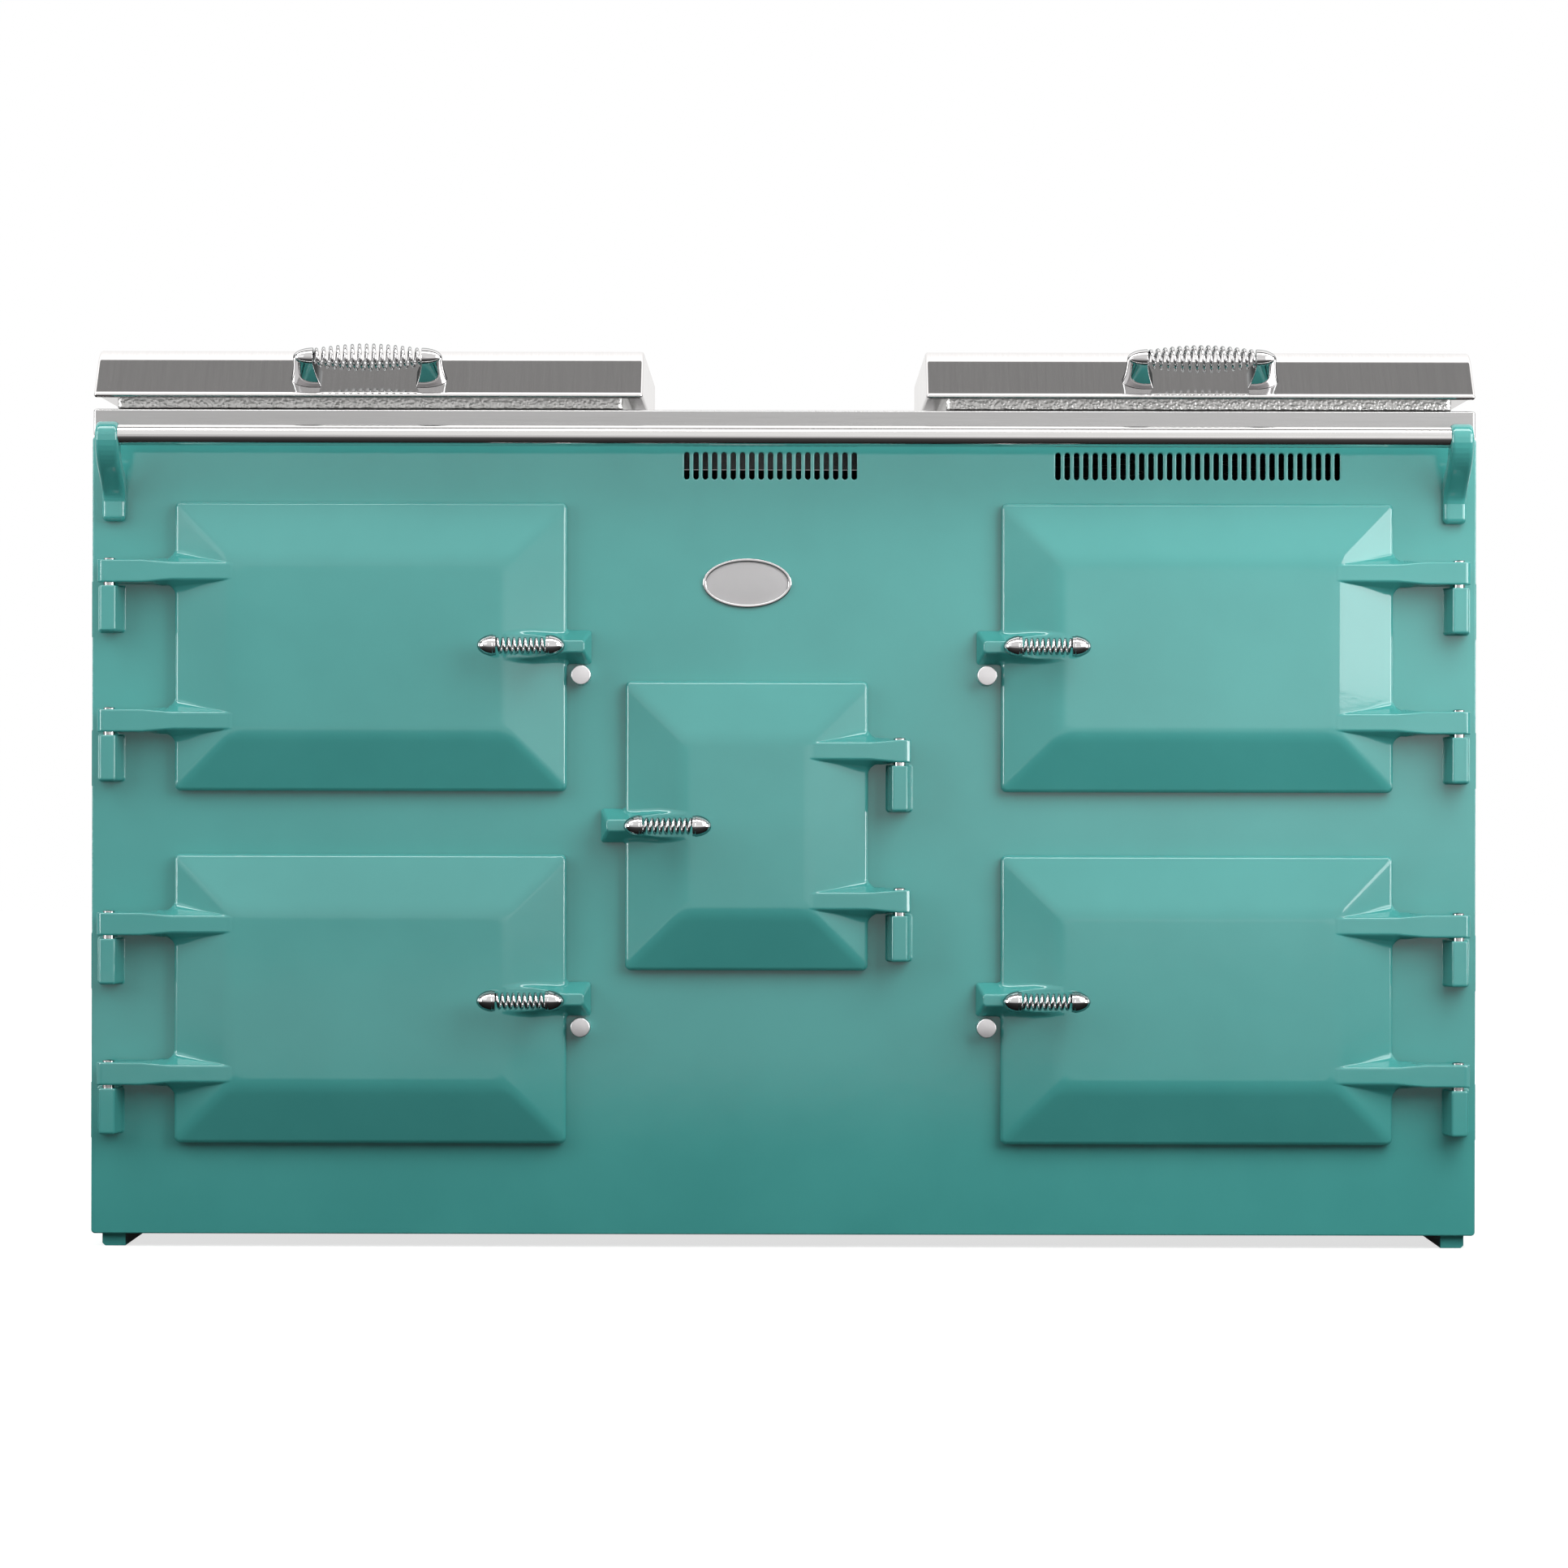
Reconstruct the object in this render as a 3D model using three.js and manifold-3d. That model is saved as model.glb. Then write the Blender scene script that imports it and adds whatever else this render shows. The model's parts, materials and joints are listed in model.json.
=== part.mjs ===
// Cast iron range cooker, 150 cm wide: four ovens, a control compartment behind the middle door,
// two insulated lids over the plates, and a hand rail.
// Millimetres, +X to the viewer's right, +Y to the back, +Z up. The front panel's face is y = 0
// inside the assembly; the whole group is then moved so that its footprint is centred on the origin.

import * as THREE from "three";
import { mergeVertices } from "three/addons/utils/BufferGeometryUtils.js";
import Module from "manifold-3d";

const wasm = await Module();
wasm.setup();

// ---------------------------------------------------------------- driving dimensions

// Clearances and joins
const SEAT = 0.3; // between pieces that seat on each other
const PIERCE = 5; // how far a cutter runs past what it cuts
const EMBED = 1; // how far joined solids run into each other
const RUNNING = 0.3; // round a pin or a spindle
const PLUG_CLEARANCE = 7.5; // from a door's plug to its aperture, for the swing
const DOOR_STANDOFF = 2; // from the front panel to a door's back, filled by the rope seal
const EDGE_MIDDLE = 0.3; // a rounded edge's middle lies this share of its radius inside the corner

// Doors
const OVEN_DOOR_W = 423;
const OVEN_DOOR_H = 312;
const CONTROL_DOOR_W = 262;
const CONTROL_DOOR_H = 312.6;
const CONTROL_DOOR_X = -40; // the middle door's centre, left of the cooker's centre line
const CONTROL_DOOR_Z = 456.3;
const DOOR_CORNER_R = 5;
const DOOR_RIM_T = 12.5; // thickness of the rim outside the bevel
const DOOR_FIELD_Y = 35; // the raised field stands this far in front of the panel
const DOOR_BEVEL_W = 62; // from the door's edge to the field
const DOOR_EDGE_R = 4; // the rim's front edge starts to turn in this far back
const DOOR_EDGE_W = 3; // and ends this far inside the door's edge
const FIELD_EASE_RISE = 0.93; // the bevel flattens into the field from this share of its rise
const FIELD_EASE_RUN = 0.89; // and of its width
const FIELD_CORNER_R = 3;
const APERTURE_MARGIN = 26.5; // from a door's edge to the aperture it covers
const APERTURE_R = 8;
const OVEN_PLUG_DEPTH = 45; // behind the panel's face
const CONTROL_PLUG_DEPTH = 12;
const PLUG_TAPER = 5; // a plug narrows by this much on each side
const PLUG_CORNER_R = 8;

// Spaces between the doors and the panel's edges
const DOORS_BETWEEN = 469; // between the left and right doors
const DOORS_ABOVE = 68; // between the lower and upper doors
const PANEL_BELOW = 99; // below the lower doors
const PANEL_OVER = 71; // above the upper doors

// Hinges
const PIN_INSET = 21.5; // from the panel's edge to the pins of the outer doors
const OVEN_ARM_REACH = 69.5; // from the pin to the door's edge
const CONTROL_ARM_REACH = 33.7;
const ARM_INSET = 75.5; // from the door's top or bottom edge to the arm
const ARM_H = 25.3;
const ARM_T = 26.5;
const ARM_END = 12; // beyond the pin
const ARM_ROOT_H = 37;
const ARM_RUN_IN = 52; // how far an arm runs in over the bevel
const ARM_PROUD = 0.5; // its front stands this much over the field
const ARM_TIP_L = 6; // its end is rounded over this length
const ARM_TIP_BACK = 5; // and by this much at the front
const ARM_NECK = 24; // it starts to swell this far short of the door
const ARM_ROOT_Y = 4; // its root reaches back to this far in front of the panel
const PIN_Y = 22; // the pins stand this far in front of the panel
const PIN_R = 6.25;
const PIN_SIDES = 12;
const PIN_EDGE = 1;
const PIN_TOP = 2; // above the arm
const PIN_DEPTH = 30; // in the post
const HINGE_GAP = 3; // between an arm and its post
const POST_H = 49.5;
const POST_BASE_W = 32;
const POST_FRONT_W = 19;
const POST_Y = 37;
const POST_DRAFT = 2; // a post's sides bulge by this much a third of the way out
const POST_EDGE = 3; // its front edges are taken off by this much

// Latch side of a door
const LUG_OUT = 26.6; // beyond the door's edge
const LUG_BASE_H = 36.5;
const LUG_RIDGE_H = 13;
const LUG_RAKE = 5; // the ridge ends this much short of the base
const LUG_Y = 32;
const LUG_BASE_T = 4;
const BOSS_INSET = 22;
const BOSS_TOP_R = 19;
const BOSS_BASE_R = 29;
const BOSS_Y = 36;
const BOSS_BASE_Y = 6;
const BOSS_SIDES = 16;

// Door handles
const HANDLE_Y = 69; // the handle's axis stands this far in front of the panel
const HANDLE_CAP_L = 20;
const HANDLE_CAP_R = 11.75;
const HANDLE_COIL_L = 53.5;
const HANDLE_COIL_TURNS = 9;
const HANDLE_COIL_R = 9.2;
const HANDLE_WIRE_R = 1.5;
const HANDLE_LEG_FLARE = 3;
const LEG_BASE_SPREAD = 1.2; // a leg's base, as a share of its size at the axis
const LEG_MIDDLE_SPREAD = 1.04;

// Catch studs
const STUD_R = 10.5;
const STUD_Y = 22;
const STUD_EDGE = 1;
const STUD_SIDES = 16;
const STUD_OUT = 15.5; // from the door's edge
const STUD_DOWN = 30.5; // below the handle

// Front panel and casing
const FLOOR_GAP = 14; // under the front panel
const PANEL_T = 8;
const PANEL_EDGE_R = 2.2;
const PANEL_CORNER_R = 4;
const SHEET_T = 3;
const BODY_D = 600;
const SIDE_INSET = 1; // the casing stands this much inside the front panel's edge
const FOOT_W = 25;
const FOOT_INSET = 10; // inside the casing's side
const FOOT_SETBACK = 10;
const FOOT_EDGE = 3;

// Vents
const SLOT_W = 5.8;
const SLOT_H = 29.4;
const SLOT_PITCH = 10.07;
const SLOT_DOWN = 30.5; // from the panel's top edge to the slots' centres
const SLOT_END_STEPS = 3;
const MIDDLE_SLOTS = 19;
const MIDDLE_SLOTS_X = -15.1;
const RIGHT_SLOTS = 31;
const RIGHT_SLOTS_X = 447;

// Hand rail
const RAIL_R = 11.15;
const RAIL_WALL = 2;
const RAIL_Y = 62; // the rail's axis stands this far in front of the panel
const RAIL_DOWN = 2.4; // the rail's axis is this far below the panel's top edge
const RAIL_SOCKET = 17; // how deep the rail enters a bracket
const RAIL_SIDES = 20;
const SOCKET_SIDES = 16;
const BRACKET_W = 25;
const BRACKET_X_INSET = 24.5; // from the panel's edge to a bracket's centre
const BRACKET_HEAD_R = 14.4;
const BRACKET_FOOT_T = 14;
const BRACKET_FOOT_H = 38;
const BRACKET_DROP = 90; // from the rail's axis to the foot's lower end
const BRACKET_EDGE = 1.5;
const BRACKET_CORNER_R = 5; // the foot's lower front corner
const BRACKET_TOE = 2; // the foot's lower back corner is taken off by this much
const NECK_BACK_DROP = 34; // the neck's back and front leave the head straight down by these
const NECK_FRONT_DROP = 36;
const NECK_HEEL_UP = 8; // they meet the foot this far above its top
const NECK_HEEL_PULL = 20;
const NECK_TOE_DOWN = 16; // and in front this far below it

// Hob
const HOB_GAP = 2; // over the front panel
const HOB_H = 28;
const HOB_T = 3;
const HOB_EDGE_R = 2;
const PLATE_W = 530;
const PLATE_D = 420;
const PLATE_Y = 62; // from the cooker's front to a plate's cut-out
const PLATE_FLANGE = 8;
const PLATE_FLANGE_T = 1;
const PLATE_BODY_GAP = 2; // between a plate's body and its cut-out
const HOT_PLATE_T = 25;
const PLATE_JOINT_W = 4; // groove between the hot and the simmering half
const CERAMIC_UNIT_H = 46;

// Lids
const LID_W = 594;
const LID_D = 528;
const LID_GAP = 12.5; // over the hob
const LID_H = 55.5;
const LID_LIP_R = 3.1;
const LID_LEAN = 42; // degrees, from upright
const LID_BEND_R = 42;
const LID_REAR_R = 8;
const LID_SIDE_R = 6;
const LID_UNDER = 3; // the underside is this far above the lip's lower edge
const TRAY_INSET = 22;
const TRAY_FRONT = 28;
const TRAY_GAP = 1; // from the closed lid's tray to the plates
const LID_AXIS_BACK = 17; // the hinge axis is this far behind the lid
const LID_AXIS_UP = 29; // and this far over the hob
const LID_BARREL_R = 10;
const LID_BARREL_L = 30;
const LID_STUB_R = 5;
const LID_STUB_SIDES = 10;
const LID_BARREL_SIDES = 12;
const LID_HINGE_INSET = 60; // from the lid's side to the ear
const EAR_T = 6;
const EAR_R = 12;
const EAR_FOOT_W = 26;
const EAR_FOOT_T = 4;
const EAR_FOOT_BACK = 28; // from the axis to the foot's rear end
const EAR_HEEL = 0.8; // the ear's sloping back meets the foot at this share of that
const EAR_BACK_FROM = 20; // degrees round the ear, where the slope leaves its head

// Lid handles
const LID_HANDLE_UP = 20; // along the slope, from the lip to the handle's legs
const LID_HANDLE_OUT = 32.6; // the handle's axis stands this far off the slope
const LID_HANDLE_CAP_L = 22;
const LID_HANDLE_CAP_R = 10.3;
const LID_COIL_L = 117;
const LID_COIL_TURNS = 15;
const LID_COIL_END_R = 9.8;
const LID_COIL_MID_R = 15;
const LID_WIRE_R = 1.8;
const LID_LEG_FLARE = 7.3;

// Ovens
const LINER_D = 470;
const LINER_WALL = 8;
const LINER_FLANGE = 10;
const LINER_STEP = 2.5; // the liner's mouth is this much smaller than the aperture on each side
const RUNNER_OUT = 6;
const RUNNER_T = 5;
const RUNNER_LEVELS = 3;
const RUNNER_FIRST = 52;
const RUNNER_PITCH = 62;
const RUNNER_SETBACK = 45; // from the panel's face, behind the door's plug
const RACK_D = 370;
const RACK_T = 7;
const RACK_REST = 4; // how far a rack overlaps its runners
const RACK_FRAME = 7;
const RACK_WIRE = 5;
const RACK_BARS = 9;
const RACK_SETBACK = 40; // behind the door's plug

// Controls
const TRAY_WALL = 3;
const TRAY_DEPTH = 78;
const TRAY_FLANGE = 12;
const KNOB_R = 19;
const KNOB_H = 20;
const KNOB_GRIP_W = 6;
const KNOB_GRIP_H = 5;
const SPINDLE_R = 4;
const SPINDLE_L = 14;
const SPINDLE_SIDES = 8;
const KNOB_SIDES = 12;
const KNOB_SHOULDER_H = 0.8; // a knob's shoulder, as a share of its height
const KNOB_SHOULDER_R = 0.92; // and of its radius
const KNOB_TOP_R = 0.8;
const KNOB_GRIP_REACH = 0.75; // the grip's half length, as a share of the knob's radius
const KNOB_ROW = 76; // between the rows of knobs
const KNOB_COLUMN = 92; // between the columns

// ---------------------------------------------------------------- places worked out from them

const PANEL_W = 2 * (PIN_INSET + OVEN_ARM_REACH + OVEN_DOOR_W) + DOORS_BETWEEN;
const PANEL_H = PANEL_BELOW + 2 * OVEN_DOOR_H + DOORS_ABOVE + PANEL_OVER;
const PANEL_TOP = FLOOR_GAP + PANEL_H;
const LOWER_DOOR_Z = FLOOR_GAP + PANEL_BELOW + OVEN_DOOR_H / 2;
const UPPER_DOOR_Z = LOWER_DOOR_Z + OVEN_DOOR_H + DOORS_ABOVE;
const OUTER_PIN_X = PANEL_W / 2 - PIN_INSET;
const CASING_W = PANEL_W - 2 * SIDE_INSET;
const CASING_Y = PANEL_T + SEAT; // everything behind the front panel starts here
const BASE_TOP = FLOOR_GAP + SEAT + SHEET_T;
const HOB_BOTTOM = PANEL_TOP + HOB_GAP;
const HOB_TOP = HOB_BOTTOM + HOB_H;
const RAIL_Z = PANEL_TOP - RAIL_DOWN;
const LID_BOTTOM = HOB_TOP + LID_GAP;
const LID_TOP = LID_BOTTOM + LID_H;
const LID_X = CASING_W / 2 - LID_W / 2;
const LID_AXIS_Y = LID_D + LID_AXIS_BACK;
const LID_AXIS_Z = HOB_TOP + LID_AXIS_UP;
const LID_BARREL_X = LID_W / 2 - LID_HINGE_INSET - EAR_T - SEAT - LID_BARREL_L / 2;
const PLATE_TOP = HOB_TOP + SEAT + PLATE_FLANGE_T;
const FRONT_MOST = Math.max(HANDLE_Y + HANDLE_CAP_R, RAIL_Y + BRACKET_HEAD_R);

// One entry a door. side is 1 where the hinges are on the door's left, -1 where on its right.
const OVEN_DOOR = {
  w: OVEN_DOOR_W,
  h: OVEN_DOOR_H,
  reach: OVEN_ARM_REACH,
  plug: OVEN_PLUG_DEPTH,
};
const CONTROL_DOOR = {
  w: CONTROL_DOOR_W,
  h: CONTROL_DOOR_H,
  reach: CONTROL_ARM_REACH,
  plug: CONTROL_PLUG_DEPTH,
};
const CONTROL_PIN_X = CONTROL_DOOR_X + CONTROL_DOOR_W / 2 + CONTROL_ARM_REACH;
const OVENS = [
  { place: "upper_left", side: 1, z: UPPER_DOOR_Z },
  { place: "upper_right", side: -1, z: UPPER_DOOR_Z },
  { place: "lower_left", side: 1, z: LOWER_DOOR_Z },
  { place: "lower_right", side: -1, z: LOWER_DOOR_Z },
].map((oven) => ({ ...oven, ...OVEN_DOOR, pinX: -oven.side * OUTER_PIN_X }));
const CONTROLS = {
  place: "control",
  side: -1,
  z: CONTROL_DOOR_Z,
  ...CONTROL_DOOR,
  pinX: CONTROL_PIN_X,
};
const DOORS = [...OVENS, CONTROLS];

// The middle of the aperture behind a door.
const doorX = (door) => door.pinX + door.side * (door.reach + door.w / 2);
const apertureOf = (door) => ({
  w: door.w - 2 * APERTURE_MARGIN,
  h: door.h - 2 * APERTURE_MARGIN,
});
const armHeights = (door) => [door.h / 2 - ARM_INSET, ARM_INSET - door.h / 2];

// ---------------------------------------------------------------- finishes

const enamel = () => new THREE.MeshStandardMaterial({ color: 0x5fa39f, roughness: 0.18, metalness: 0 });
const brushedSteel = () =>
  new THREE.MeshStandardMaterial({ color: 0xa9a8a6, roughness: 0.35, metalness: 1 });
const chrome = () => new THREE.MeshStandardMaterial({ color: 0xdcdcdc, roughness: 0.08, metalness: 1 });
const castIron = () => new THREE.MeshStandardMaterial({ color: 0x2c2b2a, roughness: 0.7, metalness: 0.4 });
const blackGlass = () => new THREE.MeshStandardMaterial({ color: 0x0b0b0d, roughness: 0.06, metalness: 0 });
const darkSheet = () => new THREE.MeshStandardMaterial({ color: 0x3b3d3e, roughness: 0.5, metalness: 0.3 });
const blackPlastic = () =>
  new THREE.MeshStandardMaterial({ color: 0x151515, roughness: 0.4, metalness: 0 });

// ---------------------------------------------------------------- solids from three.js geometry

// A closed geometry as a solid that can be joined and cut.
function solid(geometry) {
  const bare = geometry.clone();
  bare.deleteAttribute("normal");
  bare.deleteAttribute("uv");
  const merged = mergeVertices(bare, 1e-4);
  return new wasm.Manifold(
    new wasm.Mesh({
      numProp: 3,
      vertProperties: new Float32Array(merged.attributes.position.array),
      triVerts: new Uint32Array(merged.index.array),
    }),
  );
}

// A solid back as a geometry with flat faces.
function geometryOf(piece) {
  const mesh = piece.getMesh();
  const geometry = new THREE.BufferGeometry();
  geometry.setAttribute("position", new THREE.BufferAttribute(mesh.vertProperties, 3));
  geometry.setIndex(new THREE.BufferAttribute(mesh.triVerts, 1));
  const flat = geometry.toNonIndexed();
  flat.computeVertexNormals();
  return flat;
}

const join = (geometries) =>
  geometries.map(solid).reduce((whole, piece) => whole.add(piece));
const cut = (piece, cutters) =>
  cutters.map(solid).reduce((whole, cutter) => whole.subtract(cutter), piece);

// ---------------------------------------------------------------- shapes

const FACING_FRONT = new THREE.Matrix4().makeRotationX(Math.PI / 2); // outline (x, z), depth along Y
const FACING_SIDE = new THREE.Matrix4().makeBasis(
  new THREE.Vector3(0, 1, 0),
  new THREE.Vector3(0, 0, 1),
  new THREE.Vector3(1, 0, 0),
); // outline (y, z), depth along X

// A box between two corners.
function box([x0, y0, z0], [x1, y1, z1]) {
  return new THREE.BoxGeometry(x1 - x0, y1 - y0, z1 - z0).translate(
    (x0 + x1) / 2,
    (y0 + y1) / 2,
    (z0 + z1) / 2,
  );
}

// An outline in the XZ plane, drawn from y0 back to y1.
function frontPrism(shape, y0, y1) {
  return new THREE.ExtrudeGeometry(shape, { depth: y1 - y0, bevelEnabled: false })
    .applyMatrix4(FACING_FRONT)
    .translate(0, y1, 0);
}

// An outline in the YZ plane, drawn from x0 to x1.
function sidePrism(shape, x0, x1) {
  return new THREE.ExtrudeGeometry(shape, { depth: x1 - x0, bevelEnabled: false })
    .applyMatrix4(FACING_SIDE)
    .translate(x0, 0, 0);
}

// A round bar along X, Y or Z between two distances on that axis.
function bar(axis, radius, from, to, sides) {
  const geometry = new THREE.CylinderGeometry(radius, radius, to - from, sides);
  geometry.translate(0, (from + to) / 2, 0);
  if (axis === "x") geometry.rotateZ(-Math.PI / 2);
  if (axis === "z") geometry.rotateX(Math.PI / 2);
  return geometry;
}

// The radius that keeps a faceted hole clear of a faceted shaft that turns in it.
const holeFor = (radius, sides) => (radius + RUNNING) / Math.cos(Math.PI / sides);

// Points along an arc, both ends included, with its angles in degrees.
function arc(cx, cy, r, from, to, steps) {
  return Array.from({ length: steps + 1 }, (_, i) => {
    const angle = THREE.MathUtils.degToRad(from + ((to - from) * i) / steps);
    return [cx + r * Math.cos(angle), cy + r * Math.sin(angle)];
  });
}

const outline = (points) => new THREE.Shape(points.map(([x, y]) => new THREE.Vector2(x, y)));

function roundedRect(w, h, r, steps) {
  return outline([
    ...arc(w / 2 - r, h / 2 - r, r, 0, 90, steps),
    ...arc(r - w / 2, h / 2 - r, r, 90, 180, steps),
    ...arc(r - w / 2, r - h / 2, r, 180, 270, steps),
    ...arc(w / 2 - r, r - h / 2, r, 270, 360, steps),
  ]);
}

function ventSlot(x, z) {
  const half = (SLOT_H - SLOT_W) / 2;
  return outline([
    ...arc(x, z + half, SLOT_W / 2, 0, 180, SLOT_END_STEPS),
    ...arc(x, z - half, SLOT_W / 2, 180, 360, SLOT_END_STEPS),
  ]);
}

// A closed skin through loops that hold equally many points, with flat ends.
function loft(loops) {
  const count = loops[0].length;
  const position = loops.flat().flatMap((point) => [point.x, point.y, point.z]);
  const index = [];
  for (let ring = 0; ring + 1 < loops.length; ring += 1) {
    for (let i = 0; i < count; i += 1) {
      const a = ring * count + i;
      const b = ring * count + ((i + 1) % count);
      index.push(a, b, a + count, b, b + count, a + count);
    }
  }
  const last = (loops.length - 1) * count;
  for (let i = 1; i + 1 < count; i += 1) {
    index.push(0, i + 1, i);
    index.push(last, last + i, last + i + 1);
  }
  const geometry = new THREE.BufferGeometry();
  geometry.setAttribute("position", new THREE.Float32BufferAttribute(position, 3));
  geometry.setIndex(index);
  return facingOut(geometry);
}

// The same skin with its faces turned out, whichever way its loops run.
function facingOut(geometry) {
  const p = geometry.attributes.position;
  const corner = (i) => new THREE.Vector3().fromBufferAttribute(p, geometry.index.array[i]);
  let volume = 0;
  for (let i = 0; i < geometry.index.count; i += 3) {
    volume += corner(i).dot(corner(i + 1).cross(corner(i + 2)));
  }
  if (volume < 0) geometry.index.array.reverse();
  return geometry;
}

// A loop round a rounded rectangle in the XZ plane.
function rectLoop(w, h, r, y, cornerSteps) {
  const corners = [
    [w / 2 - r, h / 2 - r],
    [r - w / 2, h / 2 - r],
    [r - w / 2, r - h / 2],
    [w / 2 - r, r - h / 2],
  ];
  return corners.flatMap(([x, z], quarter) =>
    Array.from({ length: cornerSteps + 1 }, (_, step) => {
      const angle = ((quarter + step / cornerSteps) * Math.PI) / 2;
      return new THREE.Vector3(x + r * Math.cos(angle), y, z + r * Math.sin(angle));
    }),
  );
}

// A rectangle's skin built up in layers of [y, inset, corner radius].
const layered = (w, h, layers, cornerSteps = 3) =>
  loft(layers.map(([y, inset, r]) => rectLoop(w - 2 * inset, h - 2 * inset, r, y, cornerSteps)));

// ---------------------------------------------------------------- front panel

// Plan of a hinge post, drafted towards its front.
function postOutline() {
  const base = POST_BASE_W / 2;
  const front = POST_FRONT_W / 2;
  const half = [
    [base, EMBED],
    [base, -EMBED],
    [front + POST_DRAFT, -POST_Y / 3],
    [front, POST_EDGE - POST_Y],
    [front - POST_EDGE, -POST_Y],
  ];
  const mirrored = half.map(([x, y]) => [-x, y]).reverse();
  return outline([...half, ...mirrored]);
}

const postTop = (door, armZ) => door.z + armZ - ARM_H / 2 - HINGE_GAP;

function hingePost(x, top) {
  return new THREE.ExtrudeGeometry(postOutline(), { depth: POST_H, bevelEnabled: false }).translate(
    x,
    0,
    top - POST_H,
  );
}

function slotRow(count, centre) {
  const z = PANEL_TOP - SLOT_DOWN;
  return Array.from({ length: count }, (_, i) =>
    frontPrism(ventSlot(centre + (i - (count - 1) / 2) * SLOT_PITCH, z), -PIERCE, PANEL_T + PIERCE),
  );
}

function apertureCutter(door) {
  const { w, h } = apertureOf(door);
  const outlineOf = roundedRect(w, h, APERTURE_R, 2);
  return frontPrism(outlineOf, -PIERCE, PANEL_T + PIERCE).translate(doorX(door), 0, door.z);
}

function frontPanel() {
  const sheet = layered(
    PANEL_W,
    PANEL_H,
    [
      [PANEL_T, 0, PANEL_CORNER_R],
      [PANEL_EDGE_R, 0, PANEL_CORNER_R],
      [PANEL_EDGE_R * EDGE_MIDDLE, PANEL_EDGE_R * EDGE_MIDDLE, PANEL_CORNER_R - EDGE_MIDDLE],
      [0, PANEL_EDGE_R, PANEL_CORNER_R - 1],
    ],
    2,
  ).translate(0, 0, FLOOR_GAP + PANEL_H / 2);
  const posts = DOORS.flatMap((door) =>
    armHeights(door).map((armZ) => hingePost(door.pinX, postTop(door, armZ))),
  );
  const pinHole = holeFor(PIN_R, PIN_SIDES);
  const pinHoles = DOORS.flatMap((door) =>
    armHeights(door)
      .map((armZ) => postTop(door, armZ))
      .map((top) => bar("z", pinHole, top - PIN_DEPTH - SEAT, top + PIERCE, PIN_SIDES))
      .map((hole) => hole.translate(door.pinX, -PIN_Y, 0)),
  );
  const openings = [
    ...DOORS.map(apertureCutter),
    ...slotRow(MIDDLE_SLOTS, MIDDLE_SLOTS_X),
    ...slotRow(RIGHT_SLOTS, RIGHT_SLOTS_X),
  ];
  return geometryOf(cut(join([sheet, ...posts]), [...pinHoles, ...openings]));
}

// ---------------------------------------------------------------- casing

function sidePanel() {
  return box([0, CASING_Y, BASE_TOP + SEAT], [SHEET_T, BODY_D - SHEET_T - SEAT, HOB_BOTTOM - SEAT]);
}

function backPanel() {
  return box(
    [-CASING_W / 2, BODY_D - SHEET_T, BASE_TOP + SEAT],
    [CASING_W / 2, BODY_D, HOB_BOTTOM - SEAT],
  );
}

// The floor of the casing on two rails that run the whole depth.
function baseFrame() {
  const floor = box([-CASING_W / 2, CASING_Y, FLOOR_GAP + SEAT], [CASING_W / 2, BODY_D, BASE_TOP]);
  const outer = CASING_W / 2 - FOOT_INSET;
  const inner = outer - FOOT_W;
  const top = FLOOR_GAP + SEAT + EMBED;
  const shape = outline([
    [outer, FOOT_EDGE],
    [outer, top],
    [inner, top],
    [inner, 0],
    [outer - FOOT_EDGE, 0],
  ]);
  const right = frontPrism(shape, FOOT_SETBACK, BODY_D);
  const left = frontPrism(shape, FOOT_SETBACK, BODY_D)
    .rotateZ(Math.PI)
    .translate(0, FOOT_SETBACK + BODY_D, 0);
  return geometryOf(join([floor, right, left]));
}

// ---------------------------------------------------------------- hob

// The steel tray that closes the top, with a cut-out under each lid.
function hobTop() {
  const half = CASING_W / 2;
  const shape = outline([
    [0, HOB_BOTTOM],
    [0, HOB_TOP - HOB_EDGE_R],
    [HOB_EDGE_R * EDGE_MIDDLE, HOB_TOP - HOB_EDGE_R * EDGE_MIDDLE],
    [HOB_EDGE_R, HOB_TOP],
    [BODY_D, HOB_TOP],
    [BODY_D, HOB_BOTTOM],
  ]);
  const block = sidePrism(shape, -half, half);
  const hollow = box(
    [HOB_T - half, HOB_T, HOB_BOTTOM - PIERCE],
    [half - HOB_T, BODY_D - HOB_T, HOB_TOP - HOB_T],
  );
  const cutouts = [-LID_X, LID_X].map((x) =>
    box(
      [x - PLATE_W / 2, PLATE_Y, HOB_TOP - HOB_T - PIERCE],
      [x + PLATE_W / 2, PLATE_Y + PLATE_D, HOB_TOP + PIERCE],
    ),
  );
  return geometryOf(cut(solid(block), [hollow, ...cutouts]));
}

// A plate in its cut-out: a flange that lies on the hob and a body that hangs through it.
function plateBlank(bodyHeight) {
  const flange = box(
    [-PLATE_W / 2 - PLATE_FLANGE, PLATE_Y - PLATE_FLANGE, HOB_TOP + SEAT],
    [PLATE_W / 2 + PLATE_FLANGE, PLATE_Y + PLATE_D + PLATE_FLANGE, PLATE_TOP],
  );
  const body = box(
    [PLATE_BODY_GAP - PLATE_W / 2, PLATE_Y + PLATE_BODY_GAP, PLATE_TOP - bodyHeight],
    [
      PLATE_W / 2 - PLATE_BODY_GAP,
      PLATE_Y + PLATE_D - PLATE_BODY_GAP,
      PLATE_TOP - PLATE_FLANGE_T / 2,
    ],
  );
  return join([flange, body]);
}

function hotPlate() {
  const groove = box(
    [-PLATE_JOINT_W / 2, 0, PLATE_TOP - PLATE_FLANGE_T * 0.8],
    [PLATE_JOINT_W / 2, BODY_D, PLATE_TOP + PIERCE],
  );
  return geometryOf(cut(plateBlank(HOT_PLATE_T), [groove]));
}

// ---------------------------------------------------------------- lids

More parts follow.
